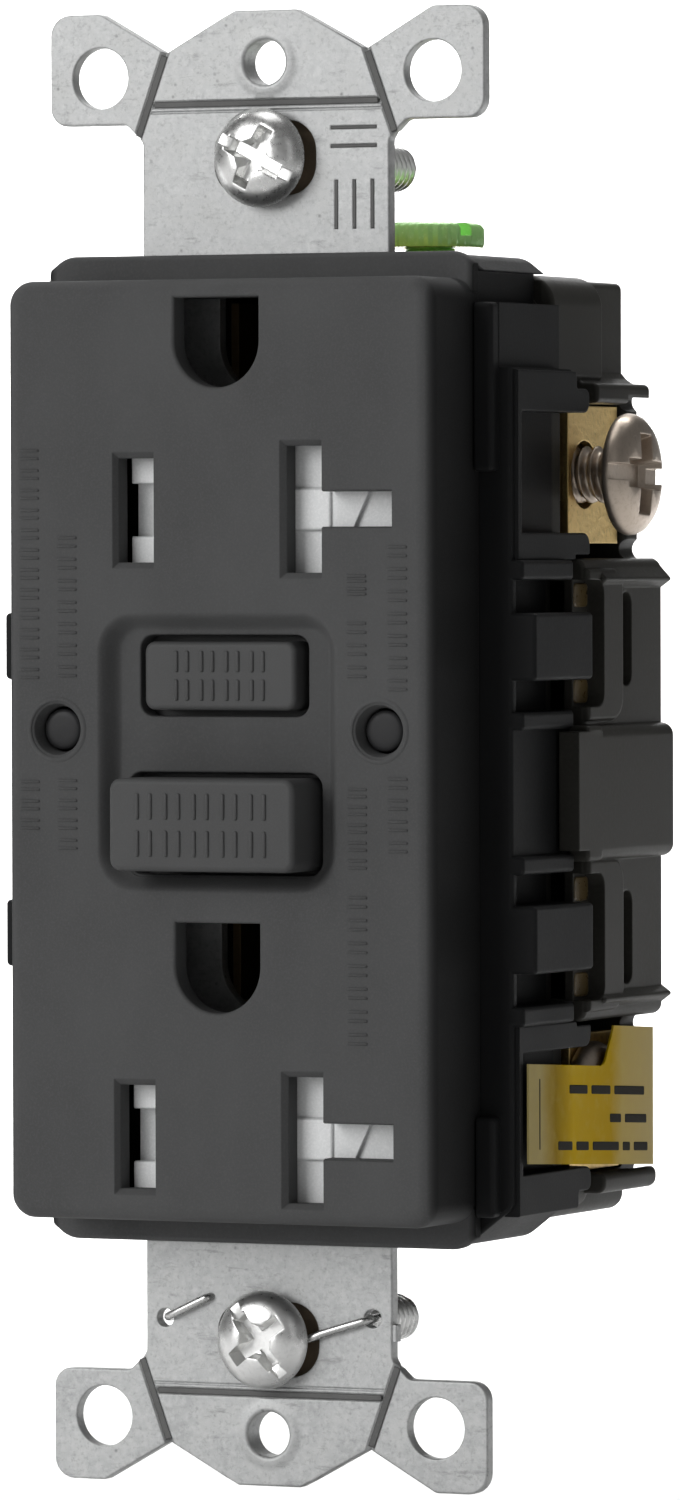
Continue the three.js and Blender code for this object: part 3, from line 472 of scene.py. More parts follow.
looks = {
    # the cover's sides are painted darker: painted shade where they turn away from the light
    "cover": plastic("charcoal_plastic", CHARCOAL, 0.62, painted_side_shade=(15.9, 16.44, 0.2),
                     Specular_IOR_Level=0.07),
    "button": plastic("charcoal_button_plastic", scaled(CHARCOAL, 0.83), 0.54, grain=0.12,
                      relief=0.004, edge=0.1, Specular_IOR_Level=0.25),
    "housing": plastic("black_plastic", BLACK, 0.5, grain=0.2, Specular_IOR_Level=0.08),
    "back": plastic("smoke_plastic", SMOKE, 0.42, grain=0.3, relief=0.005, edge=0.18, vary=0.2,
                    Specular_IOR_Level=0.1),
    "shutter": plastic("shutter_plastic", (0.76, 0.77, 0.77), 0.42, grain=0.2, relief=0.005,
                       vary=0.06, Specular_IOR_Level=0.5),
    "lens": plastic("smoked_lens", (0.021, 0.021, 0.022), 0.42, grain=0.4, relief=0.002,
                    Specular_IOR_Level=0.2),
    "strap": galvanised(),
    "zinc": metal("bright_zinc", (0.76, 0.76, 0.75), 0.3, grain=0.35, relief=0.005, marks=0.35),
    "nickel": metal("nickel_plating", (0.47, 0.40, 0.335), 0.36, grain=0.3, relief=0.006,
                    marks=0.4),
    "brass": metal("satin_brass", (0.84, 0.61, 0.25), 0.34, grain=0.45, relief=0.03, marks=0.8),
    "copper": metal("copper_alloy", (0.72, 0.40, 0.24), 0.32),
    "steel": metal("plain_steel", (0.52, 0.52, 0.51), 0.34),
    "spring": metal("spring_wire", (0.56, 0.56, 0.55), 0.26, grain=0.2),
    "green": plastic("green_coating", (0.50, 0.98, 0.32), 0.24, grain=0.35, relief=0.006,
                     edge=0.1, vary=0.25, Coat_Weight=0.4, Coat_Roughness=0.12, Metallic=0.1),
    "board": plastic("solder_mask", (0.02, 0.10, 0.035), 0.35, grain=0.5, relief=0.01),
    "ferrite": plastic("ferrite_coating", (0.035, 0.035, 0.04), 0.5),
    "nylon": plastic("natural_nylon", (0.62, 0.58, 0.47), 0.48, Subsurface_Weight=0.1),
    "blue": plastic("blue_epoxy", (0.03, 0.08, 0.28), 0.22, Coat_Weight=0.4),
    "sleeve": plastic("black_sleeve", (0.018, 0.018, 0.021), 0.3),
    # dark brown for patches at the back windows' ends: painted shade where the shaded inside shows
    "window_shade_brown": plastic("window_painted_shade", (0.075, 0.052, 0.02), 0.3, grain=0.5, vary=0.4),
    # dark brass for the ground contacts: painted shade, as they sit deep in the sockets
    "shade_dark_brass": metal("brass_darkened_as_shade", (0.10, 0.07, 0.035), 0.5),
    "ink": plastic("dull_ink", (0.022, 0.02, 0.016), 0.6, Specular_IOR_Level=0.05),
    # dark grey for the bottoms of the strap's grooves: painted shade
    "groove_shade": plastic("painted_groove_shade", (0.11, 0.11, 0.108), 0.7, grain=0.3, vary=0.3),
    "fibre": plastic("vulcanised_fibre", (0.13, 0.095, 0.06), 0.75, grain=0.4, relief=0.02,
                     vary=0.25),
}


# ---- where things are, from the frame ----

def spot(node):
    """(low corner, high corner, centre) of a CAD node in millimetres."""
    low, high = (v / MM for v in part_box(node))
    return low, high, (low + high) / 2


cover_low, cover_high, _ = spot("face_cover")
FACE_Y = cover_low.y
COVER_REAR_Y = cover_high.y
FLANGE_HALF_H = cover_high.z
FACE_HALF_W, FACE_HALF_H = 16.45, 33.0
BODY_HALF_W = 18.9
DISH_DEPTH = 1.33
SIDES = (-1, 1)
ENDS = ("upper", "lower")
SHUTTERS = {end: spot(f"shutter_{end}") for end in ENDS}
BLADE_Z = {end: s[2].z for end, s in SHUTTERS.items()}
GROUND_Z = {end: spot(f"ground_contact_{end}")[2].z for end in ENDS}
SHUTTER_Y = SHUTTERS["upper"][0].y
LENS = spot("indicator_lens_right")
TEST = spot("test_button")
RESET = spot("reset_button")
RESET_Z = RESET[2].z


# ---- face cover ----

def body_outline(half_w, half_h, r):
    cx, cz = 3.6, 2.8
    corners = []
    for sx, sz in ((1, -1), (1, 1), (-1, 1), (-1, -1)):
        low = (sx * half_w, sz * (half_h - cz), r)
        high = (sx * (half_w - cx), sz * half_h, 2.4 * r)
        corners += [high, low] if sx * sz < 0 else [low, high]
    return rounded_poly(corners)


def socket_outline(z, half_w, top):
    centre = z - 0.05
    points = [(half_w * cos(a), centre + half_w * sin(a))
              for a in turn(-pi, 0, 28)]
    return points + [(half_w, z + top), (-half_w, z + top)]


def slot_cutters(z):
    """The hot slot and the T-shaped slot, with their lead-in chamfers."""
    chamfer = 0.42
    shells = []
    for inner, outer in (
            (rect(-7.74, -4.96, z - 3.68, z + 3.62), rect(-8.05, -4.82, z - 4.1, z + 4.05)),
            (rect(5.3, 8.05, z - 4.42, z + 4.42), rect(4.9, 8.15, z - 4.82, z + 4.82)),
            (rect(7.9, 13.4, z - 1.22, z + 1.22), rect(7.8, 13.5, z - 1.32, z + 1.32))):
        over = [(a + (a - b) * 0.5, c + (c - d) * 0.5) for (a, c), (b, d) in zip(outer, inner)]
        shells += [slab(inner, FACE_Y - 0.6, FACE_Y + 2.2),
                   skin([(over, FACE_Y - 0.21), (outer, FACE_Y), (inner, FACE_Y + chamfer)])]
    return shells


def dish_cutter():
    """The dished panel, with walls that curve in and out."""
    wide = 1.35
    profile = [(wide + 0.02, FACE_Y - 0.6)]
    for t in turn(0, 1, 14):
        profile.append((wide * (1 - t), FACE_Y + DISH_DEPTH * t * t * (3 - 2 * t)))
    return loft(rounded_rect(0, -0.07, 15.95, 16.95, 1.5, 12), profile)


def face_cover():
    cover = thing("face_cover_shell", slab(
        rounded_rect(0, 0, 2 * FACE_HALF_W, 2 * FACE_HALF_H, 1.7, 10), FACE_Y, COVER_REAR_Y, 1.15, 0, 7))
    flange = thing("flange", slab(body_outline(BODY_HALF_W, FLANGE_HALF_H, 0.9),
                                  COVER_REAR_Y - 0.9, COVER_REAR_Y, 0.35))
    cut(flange, block(-20, 20, -3, 0, -32, 32),
        *[side_box(side, 16.46, 20, -3, 0, *sorted((sz * 30, sz * 36)))
          for side in SIDES for sz in (-1, 1)])
    add(cover, flange)
    hollow = thing("hollow", slab(rounded_rect(0, 0, 29.7, 63.6, 1.0), FACE_Y + 1.8, 0.5))
    cut(hollow, slab(rounded_rect(0, 0, 21.6, 22.8, 1.5), FACE_Y, FACE_Y + 3.05))
    dish_floor = FACE_Y + DISH_DEPTH
    cutters = [
        hollow,
        dish_cutter(),
        flared(rounded_rect(0, TEST[2].z, 13.0, 5.7, 0.95), dish_floor, 0.14, 3, over=0.3),
        flared(rounded_rect(0, RESET_Z, 15.0, 7.2, 1.05), dish_floor, 0.14, 3, over=0.3),
    ]
    well = [(2.05, FACE_Y - 0.6), (2.03, FACE_Y), (1.82, FACE_Y + 0.12), (1.62, FACE_Y + 0.85),
            (1.6, FACE_Y + 2.5)]
    for side in SIDES:
        cutters.append(moved(lathe(well), side * LENS[2].x, 0, LENS[2].z))
    for end in ENDS:
        cutters.append(flared(socket_outline(GROUND_Z[end], 3.25, 3.0), FACE_Y, 0.26, 2.4, 4))
        cutters += slot_cutters(BLADE_Z[end])
        # room for the open shutter's arm
        z = BLADE_Z[end]
        cutters.append(block(14.0, 15.6, SHUTTER_Y - 0.15, COVER_REAR_Y + 1, z - 1.6, z + 1.6))
    cut(cover, *cutters)
    # rims round the indicators, and short raised dashes in place of the printed notes
    raised = []
    for side in SIDES:
        ring = [(1.98, FACE_Y + 0.3), (1.98, FACE_Y - 0.02), (2.08, FACE_Y - 0.1),
                (2.22, FACE_Y - 0.08), (2.38, FACE_Y + 0.05), (2.38, FACE_Y + 0.3)]
        raised.append(tube_ring(ring, side * LENS[2].x, LENS[2].z))
    for x, words in NOTES:
        for z0, z1, count in words:
            raised += strokes(x, z0, z1, count)
    notes = thing("face_notes", *raised)
    piece(notes, looks["cover"], "charcoal_plastic", angle=50)
    piece(cover, looks["cover"], "charcoal_plastic", "face_cover", angle=28)


def tube_ring(section, cx, cz, n=48):
    """A closed section turned about the Y axis through (cx, cz)."""
    m = len(section)
    verts = [(cx + r * cos(2 * pi * i / n), y, cz + r * sin(2 * pi * i / n))
             for i in range(n) for r, y in section]
    faces = [(i * m + j, i * m + (j + 1) % m, (i + 1) % n * m + (j + 1) % m, (i + 1) % n * m + j)
             for i in range(n) for j in range(m)]
    return verts, faces


# x, the z where the first and last word start and end, and strokes in each word
NOTES = [
    (-14.55, ((4.7, 21.5, 12), (-5.9, -1.8, 3))),
    (-11.6, ((4.8, 15.4, 7), (-7.3, -1.7, 4))),
    (13.9, ((3.9, 14.7, 7), (-7.3, -1.4, 4))),
    (10.8, ((10.7, 12.5, 2), (4.8, 9.4, 3), (-8.4, -2.2, 5), (-20.7, -9.6, 7))),
]


def strokes(x, z0, z1, count):
    """Raised strokes in pairs, along a vertical line, where a word would be."""
    pitch = (z1 - z0) / count
    return [slab(rounded_rect(x, z0 + (i + 0.5) * pitch + dz * pitch, 1.5, 0.2, 0.09, 2),
                 FACE_Y - 0.085, FACE_Y + 0.3, 0.06, 0, 2)
            for i in range(count) for dz in (-0.2, 0.2)]


face_cover()


# ---- buttons, indicators and shutters ----

def raised_bars(z, rows, count, pitch, y, w, h):
    """Rows of raised bars where a button's word would be."""
    shells = []
    for dz in rows:
        for i in range(count):
            x = (i - (count - 1) / 2) * pitch
            shells += [slab(rounded_rect(x + side * w / 2, z + dz, 0.3, h, 0.12, 2), y - 0.12, y + 0.4,
                            0.08, 0, 2) for side in SIDES]
    return shells


def button(name, place, cap, rim, skirt, rows, bars, extra=(), holes=()):
    """A cap with a skirt behind the dish, and rows of bars: count, pitch, width and height."""
    front, z = place[0].y, place[2].z
    obj = thing(f"{name}_cap", slab(rounded_rect(0, z, *cap, 8), front, -5.3, rim, 0, 5))
    add(obj, slab(rounded_rect(0, z, *skirt), -5.9, -5.1, 0.1), *extra)
    if holes:
        cut(obj, *holes)
    piece(obj, looks["button"], "charcoal_plastic", f"{name}_button", body=f"{name}_button")
    count, pitch, w, h = bars
    raised = thing(f"{name}_bars", *raised_bars(z, rows, count, pitch, front, w, h))
    piece(raised, looks["button"], "charcoal_plastic", body=f"{name}_button", angle=50)


TEST_Z = TEST[2].z
button("test", TEST, (11.7, 4.8, 0.75), 0.38, (13.8, 6.4, 0.7), (1.0, -1.0), (4, 1.95, 0.85, 1.5),
       extra=[block(-1.5, 1.5, -5.2, 1.9, TEST_Z - 1.1, TEST_Z + 1.1)])
button("reset", RESET, (14.3, 6.5, 0.85), 0.42, (15.6, 7.9, 0.8), (1.3, -1.3),
       (5, 2.2, 1.0, 1.85), holes=[peg(2.7, -8.0, -4.0, 0, RESET_Z)])

for side, name in zip(SIDES, ("left", "right")):
    front, rear = LENS[0].y, LENS[1].y
    dome = [(0.05, front), (0.8, front + 0.01), (1.15, front + 0.03), (1.33, front + 0.08),
            (1.42, front + 0.17), (1.45, front + 0.4), (1.45, rear)]
    lens = thing(f"lens_{name}", moved(lathe(dome), side * LENS[2].x, 0, LENS[2].z))
    piece(lens, looks["lens"], "clear_lens", f"indicator_lens_{name}")


def shutter(end):
    z = BLADE_Z[end]
    y0, y1 = SHUTTERS[end][0].y, SHUTTERS[end][1].y
    body = thing(f"shutter_{end}_slide", slab(rect(-7.5, 8.0, z - 4.55, z + 4.55), y0, y1))
    add(body, slab(rect(7.9, 13.45, z - 1.35, z + 1.35), y0, y1))
    cut(body, block(3.3, 4.85, y0 - 1, y1 + 1, z - 4.0, z + 4.0),
        block(-4.6, 3.31, y0 - 1, y0 + 0.5, z - 6, z + 6),
        flared(rect(-8.0, -5.62, z - 1.85, z + 1.85), y0, 0.16, 1.0, 3),
        # the ramp down towards the end of the arm
        slab([(9.3, z - 2), (14, z - 2), (14, z + 2), (11.2, z + 2)], y0 - 0.5, y0 + 0.35),
        block(4.5, 8.2, y0 - 0.5, y0 + 0.22, z + 1.5, z + 4.8),
        block(4.5, 8.2, y0 - 0.5, y0 + 0.22, z - 4.8, z - 1.5))
    add(body, slab(rounded_rect(6.2, z, 3.6, 2.9, 0.25), y0 - 0.22, y0 + 1.2, 0.2))
    soften(body, 0.08)
    piece(body, looks["shutter"], "shutter_plastic", f"shutter_{end}", body=f"shutter_{end}")


for end in ENDS:
    shutter(end)


# ---- mounting strap and its clip ----

SCREW_Z = spot("mounting_screw_upper")[2].z
STRAP_LOW, STRAP_HIGH, _ = spot("mounting_strap")
PLATE_Z, EAR = 48.42, (12.95, 47.55)


def line_outline(x0, z0, x1, z1, t):
    along = (Vector((x1, z1)) - Vector((x0, z0))).normalized() * t / 2
    side = Vector((-along.y, along.x))
    a, b = Vector((x0, z0)), Vector((x1, z1))
    return [tuple(a - along - side), tuple(b + along - side), tuple(b + along + side),
            tuple(a - along + side)]


def groove(x0, z0, x1, z1, y, width, depth, facing=1):
    """A V groove into the plane y, which faces -Y, or +Y when facing is -1."""
    outline = line_outline(x0, z0, x1, z1, 0.04)
    return loft(outline, [(width * 0.62, y - 0.25 * facing), (width / 2, y), (0, y + depth * facing)])


# plain engraved strokes where the strap is stamped
STAMPED = [(5.2, 43.7, 8.5, 43.7), (5.2, 42.4, 8.5, 42.4),
           (5.5, 36.7, 5.5, 39.9), (6.9, 36.7, 6.9, 39.9), (8.3, 36.7, 8.3, 39.9)]
# widths and depths: the strokes, the score across each end, the score beside each ear
STAMP, END_SCORE, EAR_SCORE = (0.3, 0.12), (0.6, 0.3), (0.7, 0.34)


def strap():
    top = STRAP_LOW.y
    quarter = [(9.6, 0, 0), (9.6, 42.9, 0.8), (10.9, 44.2, 0.8), (16.9, 44.2, 1.3),
               (16.9, 52.1, 1.5), (12.9, 52.1, 0.8), (7.8, 49.2, 0.5), (3.4, 51.6, 0.5),
               (2.4, 52.1, 0.4)]

    def mirror(sx, sz):
        return [(sx * x, sz * z, r) for x, z, r in quarter]

    outline = rounded_poly(mirror(1, 1) + mirror(-1, 1)[::-1] + mirror(-1, -1)[1:]
                           + mirror(1, -1)[1:][::-1], 6)
    plate = thing("strap_plate", slab(outline, top, 0, 0.16, 0.08, 3))
    for sz in (-1, 1):
        collar = [(2.75, top + 0.5), (2.75, top + 0.02), (2.3, top - 0.1), (1.9, top - 0.16),
                  (0.2, top - 0.16)]
        add(plate, moved(lathe(collar), 0, 0, sz * PLATE_Z),
            moved(lathe([(2.3, -0.1), (2.2, STRAP_HIGH.y)], 32), 0, 0, sz * PLATE_Z))
    cutters = []
    for sz in (-1, 1):
        cutters += [
            slab(rounded_rect(0, sz * SCREW_Z, 7.9, 5.3, 2.2), top - 1, 2),
            moved(flared(circle(0, 0, 1.6), top - 0.16, 0.25, 3, 4), 0, 0, sz * PLATE_Z),
            groove(-8.7, sz * 45.57, 8.7, sz * 45.57, top, *END_SCORE),
            groove(-8.9, sz * 45.02, 8.9, sz * 45.02, top, 0.22, 0.1),
        ]
        for sx in SIDES:
            cutters += [
                moved(flared(circle(0, 0, 2.17, 40), top, 0.12, 3, 3), sx * EAR[0], 0, sz * EAR[1]),
                groove(sx * 7.35, sz * 50.6, sx * 10.5, sz * 41.9, top, *EAR_SCORE),
                groove(sx * 7.35, sz * 50.6, sx * 10.5, sz * 41.9, 0, 0.6, 0.28, -1),
            ]
    cutters += [groove(*ends, top, *STAMP) for ends in STAMPED]
    for end in ENDS:
        z = BLADE_Z[end]
        cutters += [
            slab(socket_outline(GROUND_Z[end], 3.6, 3.4), top - 1, 2),
            block(-8.3, -4.5, -2, 2, z - 4.6, z + 4.6),
            block(4.7, 12, -2, 2, z - 5.2, z + 5.2),
        ]
    cutters.append(slab(rounded_rect(0, 0, 15.8, 19.4, 1.0), top - 1, 2))
    cutters += [moved(flared(circle(0, 0, 0.65, 20), top, 0.1, 3, 3), x, 0, z)
                for x, z in ((-8.1, -40.4), (8.1, -40.0))]
    cut(plate, *cutters)
    # a shear mark on the lower neck's edge
    add(plate, block(9.5, 9.85, top + 0.1, -0.1, -41.6, -40.4))
    piece(plate, looks["strap"], "galvanised_steel", "mounting_strap", angle=30)


strap()


def groove_shade(x0, z0, x1, z1, width, depth):
    """A dark strip down in a groove in the strap's front: painted shade at the groove's bottom."""
    y = STRAP_LOW.y
    return loft(line_outline(x0, z0, x1, z1, 0.04), [
        (width * 0.33, y + 0.3 * depth), (width * 0.3, y + 0.36 * depth), (0, y + depth + 0.03)])


def score_lines():
    lines = [groove_shade(x0, z0, x1, z1, *STAMP) for x0, z0, x1, z1 in STAMPED]
    for sz in (-1, 1):
        lines.append(groove_shade(-8.5, sz * 45.57, 8.5, sz * 45.57, *END_SCORE))
        lines += [groove_shade(sx * 8.0, sz * 48.8, sx * 9.88, sz * 43.6, *EAR_SCORE) for sx in SIDES]
    piece(thing("score_lines", *lines), looks["groove_shade"], "galvanised_steel")


score_lines()


def swept(points, radius, n=14, samples=8):
    """A round wire along a smooth curve through the points, with rounded ends."""
    pts = [Vector(p) for p in points]
    path = []
    for i in range(len(pts) - 1):
        p0, p1 = pts[max(0, i - 1)], pts[i]
        p2, p3 = pts[i + 1], pts[min(len(pts) - 1, i + 2)]
        for k in range(samples):
            t = k / samples
            path.append(0.5 * ((2 * p1) + (p2 - p0) * t + (2 * p0 - 5 * p1 + 4 * p2 - p3) * t * t
                               + (3 * p1 - p0 - 3 * p2 + p3) * t ** 3))
    path.append(pts[-1])
    verts, faces, normal = [], [], Vector((0, 0, 1))
    for i, p in enumerate(path):
        ahead = (path[min(i + 1, len(path) - 1)] - path[max(i - 1, 0)]).normalized()
        normal = (normal - ahead * normal.dot(ahead)).normalized()
        other = ahead.cross(normal)
        r = radius * (0.6 if i in (0, len(path) - 1) else 1)
        verts += [tuple(p + normal * r * cos(a) + other * r * sin(a))
                  for a in (2 * pi * k / n for k in range(n))]
    for i in range(len(path) - 1):
        for k in range(n):
            m = (k + 1) % n
            faces.append((i * n + k, i * n + m, (i + 1) * n + m, (i + 1) * n + k))
    faces += [tuple(range(n)), tuple(range((len(path) - 1) * n, len(path) * n))]
    return verts, faces


over = STRAP_LOW.y - 0.36
clip = thing("ground_wire_clip", swept([
    (-8.1, 1.6, -40.4), (-8.1, 0.2, -40.4), (-7.85, over + 0.35, -40.3), (-7.1, over, -40.0),
    (-5.1, over, -39.05), (-4.7, over + 0.08, -38.88), (-4.5, over + 0.4, -38.8)], 0.3), swept([
        (0.6, over + 0.9, -40.3), (2.4, over + 0.2, -41.6), (3.4, over, -41.5), (4.6, over, -41.05),
        (7.1, over, -40.3), (7.85, over + 0.35, -40.08), (8.1, 0.2, -40.0), (8.1, 1.6, -40.0)], 0.3))
piece(clip, looks["spring"], "spring_steel", "self_ground_wire_clip", angle=60)


# ---- screws ----

def head_recess(y, slot_w, slot_d, cross_w, cross_r, cross_d, reach, tilt=0):
    """Cutters for a slot and a cross in a head whose top is at y and faces -Y."""
    def tapered(w, length, depth):
        return skin([(rect(-length, length, -w, w), y - 0.4),
                     (rect(-length * 0.72, length * 0.72, -w * 0.72, w * 0.72), y + depth)])
    spin = around("Y", tilt)
    cuts = [moved(block(-reach, reach, y - 0.5, y + slot_d, -slot_w / 2, slot_w / 2), turned=spin)]
    for a in (0, 90):
        cuts.append(moved(tapered(cross_w / 2, cross_r, cross_d), turned=around("Y", tilt + a)))
    for a in (45, 135):
        cuts.append(moved(tapered(cross_w * 0.42, cross_r * 0.52, cross_d * 0.8),
                          turned=around("Y", tilt + a)))
    return cuts


def screw(name, head, recess, thread, place, look, slot, node, body, turned=None):
    obj = thing(name, lathe(head, 56))
    cut(obj, *recess)
    soften(obj, 0.07, 2, 40)
    settle(obj)
    add(obj, threaded(*thread))
    m = (turned or Matrix.Identity(3)).to_4x4()
    obj.data.transform(Matrix.Translation(Vector(place) * MM) @ m)
    piece(obj, look, slot, node, body=body, angle=35)


for end, tilt in (("upper", 28), ("lower", 52)):
    low, high, middle = spot(f"mounting_screw_{end}")
    y = low.y + 1.75
    truss = [(0.05, y - 1.75), (0.9, y - 1.72), (1.8, y - 1.58), (2.55, y - 1.32), (3.1, y - 0.95),
             (3.42, y - 0.5), (3.5, y - 0.28), (3.44, y - 0.1), (3.3, y), (1.5, y), (1.3, y + 0.5)]
    screw(f"mounting_screw_{end}_turned", truss,
          head_recess(y - 1.75, 0.8, 0.8, 1.25, 2.6, 1.4, 3.8, tilt),
          (1.28, 1.7, 0.79, y + 0.3, high.y - 0.02), (0, 0, middle.z), looks["zinc"], "zinc_screw",
          f"mounting_screw_{end}", f"mounting_screw_{end}")

for kind in ("line", "load"):
    for side, pole in zip(SIDES, ("hot", "neutral")):
        name = f"{kind}_{pole}_screw"
        low, high, middle = spot(name)
        top = high.x if side > 0 else -low.x
        tip = low.x if side > 0 else -high.x
        pan = [(0.05, 0.0), (1.6, 0.02), (2.9, 0.14), (3.7, 0.4), (4.15, 0.8), (4.32, 1.2), (4.35, 1.5),
               (4.25, 1.75), (4.05, 1.86), (2.0, 1.86), (1.7, 2.3)]
        screw(f"{name}_turned", pan, head_recess(0, 1.15, 1.2, 2.2, 3.1, 1.7, 4.7, 3),
              (1.6, 2.05, 0.9, 2.0, top - tip - 0.02), (side * top, middle.y, middle.z),
              looks["nickel" if pole == "neutral" else "brass"],
              "nickel_screw" if pole == "neutral" else "brass", name, name, around("Z", 90 * side))

low, high, middle = spot("ground_screw")
teeth = []
for i in range(72):
    a, r = 2 * pi * i / 72, 4.08 if i % 2 else 3.86
    teeth.append((r * cos(a), r * sin(a)))
drop = high.z - 35.6
crown = [(grown(teeth, d), y) for d, y in (
    (-0.55, 0.0), (-0.2, 0.14), (-0.02, 0.42), (0.0, drop - 0.25), (-0.1, drop))]
green = thing("ground_screw_turned", skin(crown))
cut(green, *head_recess(0, 1.15, 0.95, 1.2, 2.4, 1.2, 4.6, 20))
soften(green, 0.06, 2, 40)
settle(green)
add(green, threaded(1.55, 2.0, 0.79, drop - 0.4, high.z - low.z - 0.02))
green.data.transform(Matrix.Translation(Vector((middle.x, middle.y, high.z)) * MM)
                     @ Matrix.Rotation(radians(-90), 4, "X"))
piece(green, looks["green"], "green_screw", "ground_screw", body="ground_screw")


# ---- front housing ----

MIRROR_Z = -3.0                       # the side features mirror about this height
HOUSING_REAR = 9.5


def heights(h0, h1):
    """The two spans of z at heights h0 to h1 from the mirror plane."""
    return [(MIRROR_Z + h0, MIRROR_Z + h1), (MIRROR_Z - h1, MIRROR_Z - h0)]


def side_plate(side, outline, x0, x1, r=0.25, n=3):
    """A plate standing out to a side: outline in (y, z), outer rim rounded by r."""
    if side > 0:
        return slab(outline, x0, x1, 0, r, n, "x")
    return slab(outline, -x1, -x0, r, 0, n, "x")


def side_plates(side, y0, y1, spans, r, x0, x1, rim):
    """One side plate for each span of z."""
    return [side_plate(side, rounded_span(y0, y1, z0, z1, r), x0, x1, rim) for z0, z1 in spans]


def front_housing():
    ledge = -1.0
    shell = thing("housing_shell", slab(body_outline(BODY_HALF_W, 34.7, 0.9), ledge, HOUSING_REAR, 0.3))
    removed, added = [], []
    for side in SIDES:
        for h0, h1, x0, y0 in ((5.7, 7.87, 16.9, ledge + 0.7), (12.61, 14.9, 16.9, ledge + 0.7),
                               (18.2, 26.7, 17.4, ledge + 0.75)):
            removed += [side_box(side, x0, 22, y0, HOUSING_REAR + 1, *z) for z in heights(h0, h1)]
        removed += [
            side_box(side, 17.98, 22, ledge - 1, HOUSING_REAR + 1, 26.75, 31.3),
            side_box(side, 16.0, 22, ledge - 1, HOUSING_REAR + 1, 31.3, 33.5),
            side_box(side, 17.9, 22, ledge - 1, HOUSING_REAR + 1, -34, -33.1),
        ]
        added += side_plates(side, ledge, 9.2, heights(7.87, 12.61), 0.35, 18.5, 20.7, 0.3)
        added += side_plates(side, ledge, 8, heights(4.4, 5.7) + heights(14.9, 16.3), 0.3, 18.5,
                             19.75, 0.3)
        for sign in (1, -1):
            def lug(points):
                return [(y, MIRROR_Z + sign * h, *r) for y, h, *r in points][::sign]
            near = lug([(ledge + 0.5, 16.3), (9.6, 16.3, 0.16), (9.6, 16.65, 0.1),
                        (12.1, 16.65, 0.2), (12.1, 18.2, 0.9), (ledge + 0.5, 18.2)])
            far = lug([(ledge + 0.5, 26.7), (12.1, 26.7, 0.8), (12.1, 28.4, 0.6),
                       (9.9, 28.4, 0.25), (9.9, 29.6, 0.3), (ledge + 0.5, 29.6)])
            added += [side_plate(side, rounded_poly(outline, 6), 17.3, 19.2, 0.13)
                      for outline in (near, far)]
            z0, z1 = sorted((MIRROR_Z + sign * 16.3, MIRROR_Z + sign * 29.6))
            added.append(side_box(side, 17.2, 19.19, ledge + 0.5, ledge + 1.1, z0 + 0.05, z1 - 0.05))
        added += side_plates(side, ledge - 1.2, 1, ((19.5, 31.3), (-32.6, -25.6)), 0.35, 16.6,
                             17.95, 0.35)
    cut(shell, *removed)
    add(shell, *added)
    inner = [
        block(-9.85, 9.85, -2, 0.04, -36, 36),
        block(-15.4, 15.4, 1.6, HOUSING_REAR + 1, -32.4, 32.4),
        block(2.2, 10.8, -2, HOUSING_REAR + 1, 33.8, 36),
    ]
    for end in ENDS:
        g, z = GROUND_Z[end], BLADE_Z[end]
        inner += [block(-3.7, 3.7, -1, 2, g - 3.4, g + 3.4),
                  block(-8.3, -4.45, -1.2, 2, z - 4.35, z + 4.35),
                  block(4.7, 8.65, -1.2, 2, z - 5.05, z + 5.05),
                  block(7.9, 14.0, -1.2, 2, z - 1.85, z + 1.85)]
    inner += [block(-2.1, 2.1, -1, 2, TEST_Z - 1.6, TEST_Z + 1.6), peg(1.55, -1, 2, 0, RESET_Z, 24)]
    inner += [peg(1.75, -2, 2, side * LENS[2].x, LENS[2].z, 24) for side in SIDES]
    cut(shell, *inner)
    soften(shell, 0.1, 2, 50)
    piece(shell, looks["housing"], "black_plastic", "front_housing", angle=30)


front_housing()


# ---- back cover ----

BACK_FRONT, BACK_REAR = 9.8, spot("back_cover")[1].y
BAY_EDGE, CORE_HALF_W = 16.6, 12.3
WEB_Y = 21.5


